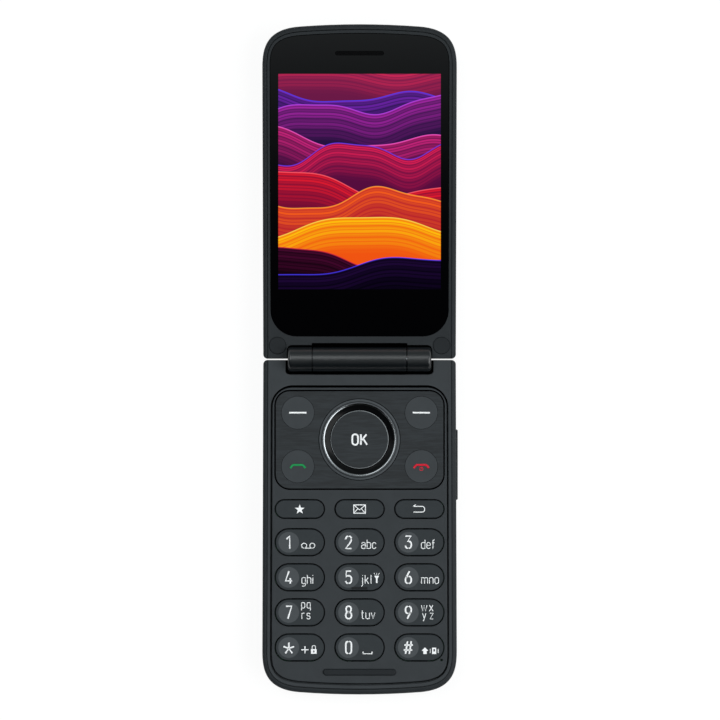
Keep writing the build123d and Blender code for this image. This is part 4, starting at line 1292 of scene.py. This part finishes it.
@dataclass
class Keys(Assembly):
    """Number keys and the row of three above them."""

    number_x: float = -3.3
    number_height: float = 3.75
    number_weight: float = 0.53
    # Heights under which the sides of the panel and the keys are painted as shade.
    panel_gap: float = 10.38
    key_gap: float = 10.59

    def build(self) -> None:
        """Dresses the panel and the keys, and prints their signs."""
        self.dress(Moulding("panel_plastic", Tone.PANEL.value, gap=self.panel_gap), "keypad_panel")
        plain = Moulding("key_plastic", Tone.KEY.value, gap=self.key_gap)
        self.dress(plain, "favourites_key", "message_key", "return_key")
        start = middle("key_1")
        capped = NumberKeyPlastic(
            "number_key_plastic",
            Tone.KEY.value,
            gap=self.key_gap,
            field_start=(start[0] + self.number_x, start[1]),
            field_pitch=(middle("key_2")[0] - start[0], start[1] - middle("key_4")[1]),
            mark_top=top("key_1") + 0.02,
        )
        self.dress(capped, *LABELS)
        self.print_signs()

    def print_signs(self) -> None:
        """Prints the number keys and the three keys above them."""
        ink = Ink("ink_white", Tone.WHITE.value)
        for key, (number, marks) in LABELS.items():
            x = self.number_x - GLYPHS[number].width * self.number_height / 2
            figure = word(number, x, BASELINE, self.number_height, self.number_weight)
            Sign(f"{key}_print", key, figure + marks, top("key_1")).build(ink)
        for key, marks in (("favourites_key", STAR), ("message_key", ENVELOPE), ("return_key", BACK_ARROW)):
            Sign(f"{key}_print", key, marks, top(key)).build(ink)


@dataclass(frozen=True)
class Lamp:
    """A soft lamp that faces the telephone: its place, its width and height in metres, and its watts."""

    name: str
    place: Place
    size: Spot
    power: float
    tint: Place = (0.975, 0.995, 1.0)

    def build(self) -> None:
        """Hangs the lamp where the camera doesn't see it."""
        bpy.ops.object.light_add(type="AREA", location=self.place)
        lamp = bpy.context.object
        lamp.name = self.name
        lamp.rotation_euler = (-Vector(self.place)).to_track_quat("-Z", "Y").to_euler()
        lamp.data.shape = "RECTANGLE"
        lamp.data.size, lamp.data.size_y = self.size
        lamp.data.energy = self.power
        lamp.data.color = self.tint
        lamp.visible_camera = False


@dataclass
class Studio:
    """Camera, lamps, pale floor and far wall."""

    view_width: float = 216.0
    view_middle: Spot = (0.135, -0.19)
    view_height: float = 1810.4
    view_distance: float = 1800.0
    sensor: float = 36.0
    clip: Spot = (0.05, 100.0)
    darkest: float = 0.006
    sky: float = 0.95
    sky_fall: float = 0.68
    horizon: float = 0.12
    sky_tint: Colour = (0.9, 0.975, 1.0, 1.0)
    floor_size: float = 60.0
    floor_glow: float = 0.91
    wall_radius: float = 6.0
    wall_height: float = 0.4
    wall_sides: int = 96
    wall_glow: float = 0.99
    paper_tone: Colour = (0.8, 0.8, 0.8, 1.0)
    faint_tone: Colour = (0.12, 0.12, 0.12, 1.0)
    lamps: tuple[Lamp, ...] = (
        Lamp("lamp_left", (-0.46, 0.3, 1.4), (1.1, 0.56), 6.8),
        Lamp("lamp_right", (1.12, -0.34, 1.28), (1.6, 1.27), 22.2),
    )

    def build(self) -> None:
        """Sets up everything around the telephone."""
        self.camera()
        self.world()
        self.floor()
        self.wall()
        for lamp in self.lamps:
            lamp.build()
        bpy.context.scene.view_settings.view_transform = "Standard"

    def camera(self) -> None:
        """Looks straight down on the open telephone, as the photograph does."""
        place = (self.view_middle[0] * MM, self.view_middle[1] * MM, self.view_height * MM)
        bpy.ops.object.camera_add(location=place, rotation=(0.0, 0.0, 0.0))
        camera = bpy.context.object
        camera.name = "camera"
        camera.data.sensor_width = self.sensor
        camera.data.lens = self.sensor * self.view_distance / self.view_width
        camera.data.clip_start, camera.data.clip_end = self.clip
        bpy.context.scene.camera = camera

    def world(self) -> None:
        """Sky that is dark overhead and towards the keys, and bright beyond the screen."""
        graph = Graph(bpy.data.worlds.new("studio_world"))
        direction = graph.node("ShaderNodeTexCoord", {}, {}, output="Generated")
        along = graph.split(direction, "Y")
        edge = along.ramp(0.0, 0.077, smooth=False) ** 3.0
        fall = 1 - self.sky_fall * along.ramp(0.15, 0.72)
        near_floor = 1 - graph.split(direction, "Z").ramp(0.05, 0.4)
        strength = edge * fall * self.sky + near_floor * along.ramp(-0.1, 0.4) * self.horizon
        sockets = {0: self.sky_tint, 1: strength + self.darkest}
        shader = graph.node("ShaderNodeBackground", {}, sockets)
        graph.node("ShaderNodeOutputWorld", {}, {0: shader})
        bpy.context.scene.world = graph.owner

    def paper(self, name: str, glow: float) -> bpy.types.Material:
        """White that the camera and mirrors see as white, with the shadow kept.

        Args:
            name: Name of the material.
            glow: Share of the white that no shadow takes.

        Returns:
            The material.
        """
        graph = Graph(bpy.data.materials.new(name))
        rays = ("Is Camera Ray", "Is Glossy Ray", "Is Transmission Ray")
        camera, glossy, through = (graph.node("ShaderNodeLightPath", {}, {}, output=ray) for ray in rays)
        seen = (camera + glossy + through).smallest(1.0)
        matt = graph.node("ShaderNodeBsdfDiffuse", {}, {0: self.paper_tone})
        faint = graph.node("ShaderNodeBsdfDiffuse", {}, {0: self.faint_tone})
        shine = graph.node("ShaderNodeEmission", {}, {0: WHITE, 1: glow})
        white = graph.node("ShaderNodeAddShader", {}, {0: faint, 1: shine})
        shader = graph.node("ShaderNodeMixShader", {}, {0: seen, 1: matt, 2: white})
        graph.node("ShaderNodeOutputMaterial", {}, {0: shader})
        return graph.owner

    def floor(self) -> None:
        """Wide table top at height 0."""
        bpy.ops.mesh.primitive_plane_add(size=self.floor_size, location=(0.0, 0.0, 0.0))
        floor = bpy.context.object
        floor.name = "floor"
        floor.data.materials.append(self.paper("floor_paper", self.floor_glow))

    def wall(self) -> None:
        """Low far wall, so that the horizon is white too."""
        bpy.ops.mesh.primitive_cylinder_add(
            vertices=self.wall_sides,
            radius=self.wall_radius,
            depth=self.wall_height,
            end_fill_type="NOTHING",
            location=(0.0, 0.0, self.wall_height / 2),
        )
        wall = bpy.context.object
        wall.name = "far_wall"
        wall.data.materials.append(self.paper("wall_paper", self.wall_glow))


def main() -> None:
    """Builds everything in order."""
    logging.basicConfig(level=logging.INFO, format="%(message)s", stream=sys.stdout)
    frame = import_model()
    bpy.ops.object.select_all(action="DESELECT")
    for assembly in (Housings, Screens, Inner, Navigation, Keys):
        assembly(frame["nodes"]).build()
    Studio().build()


if __name__ == "__main__":
    main()
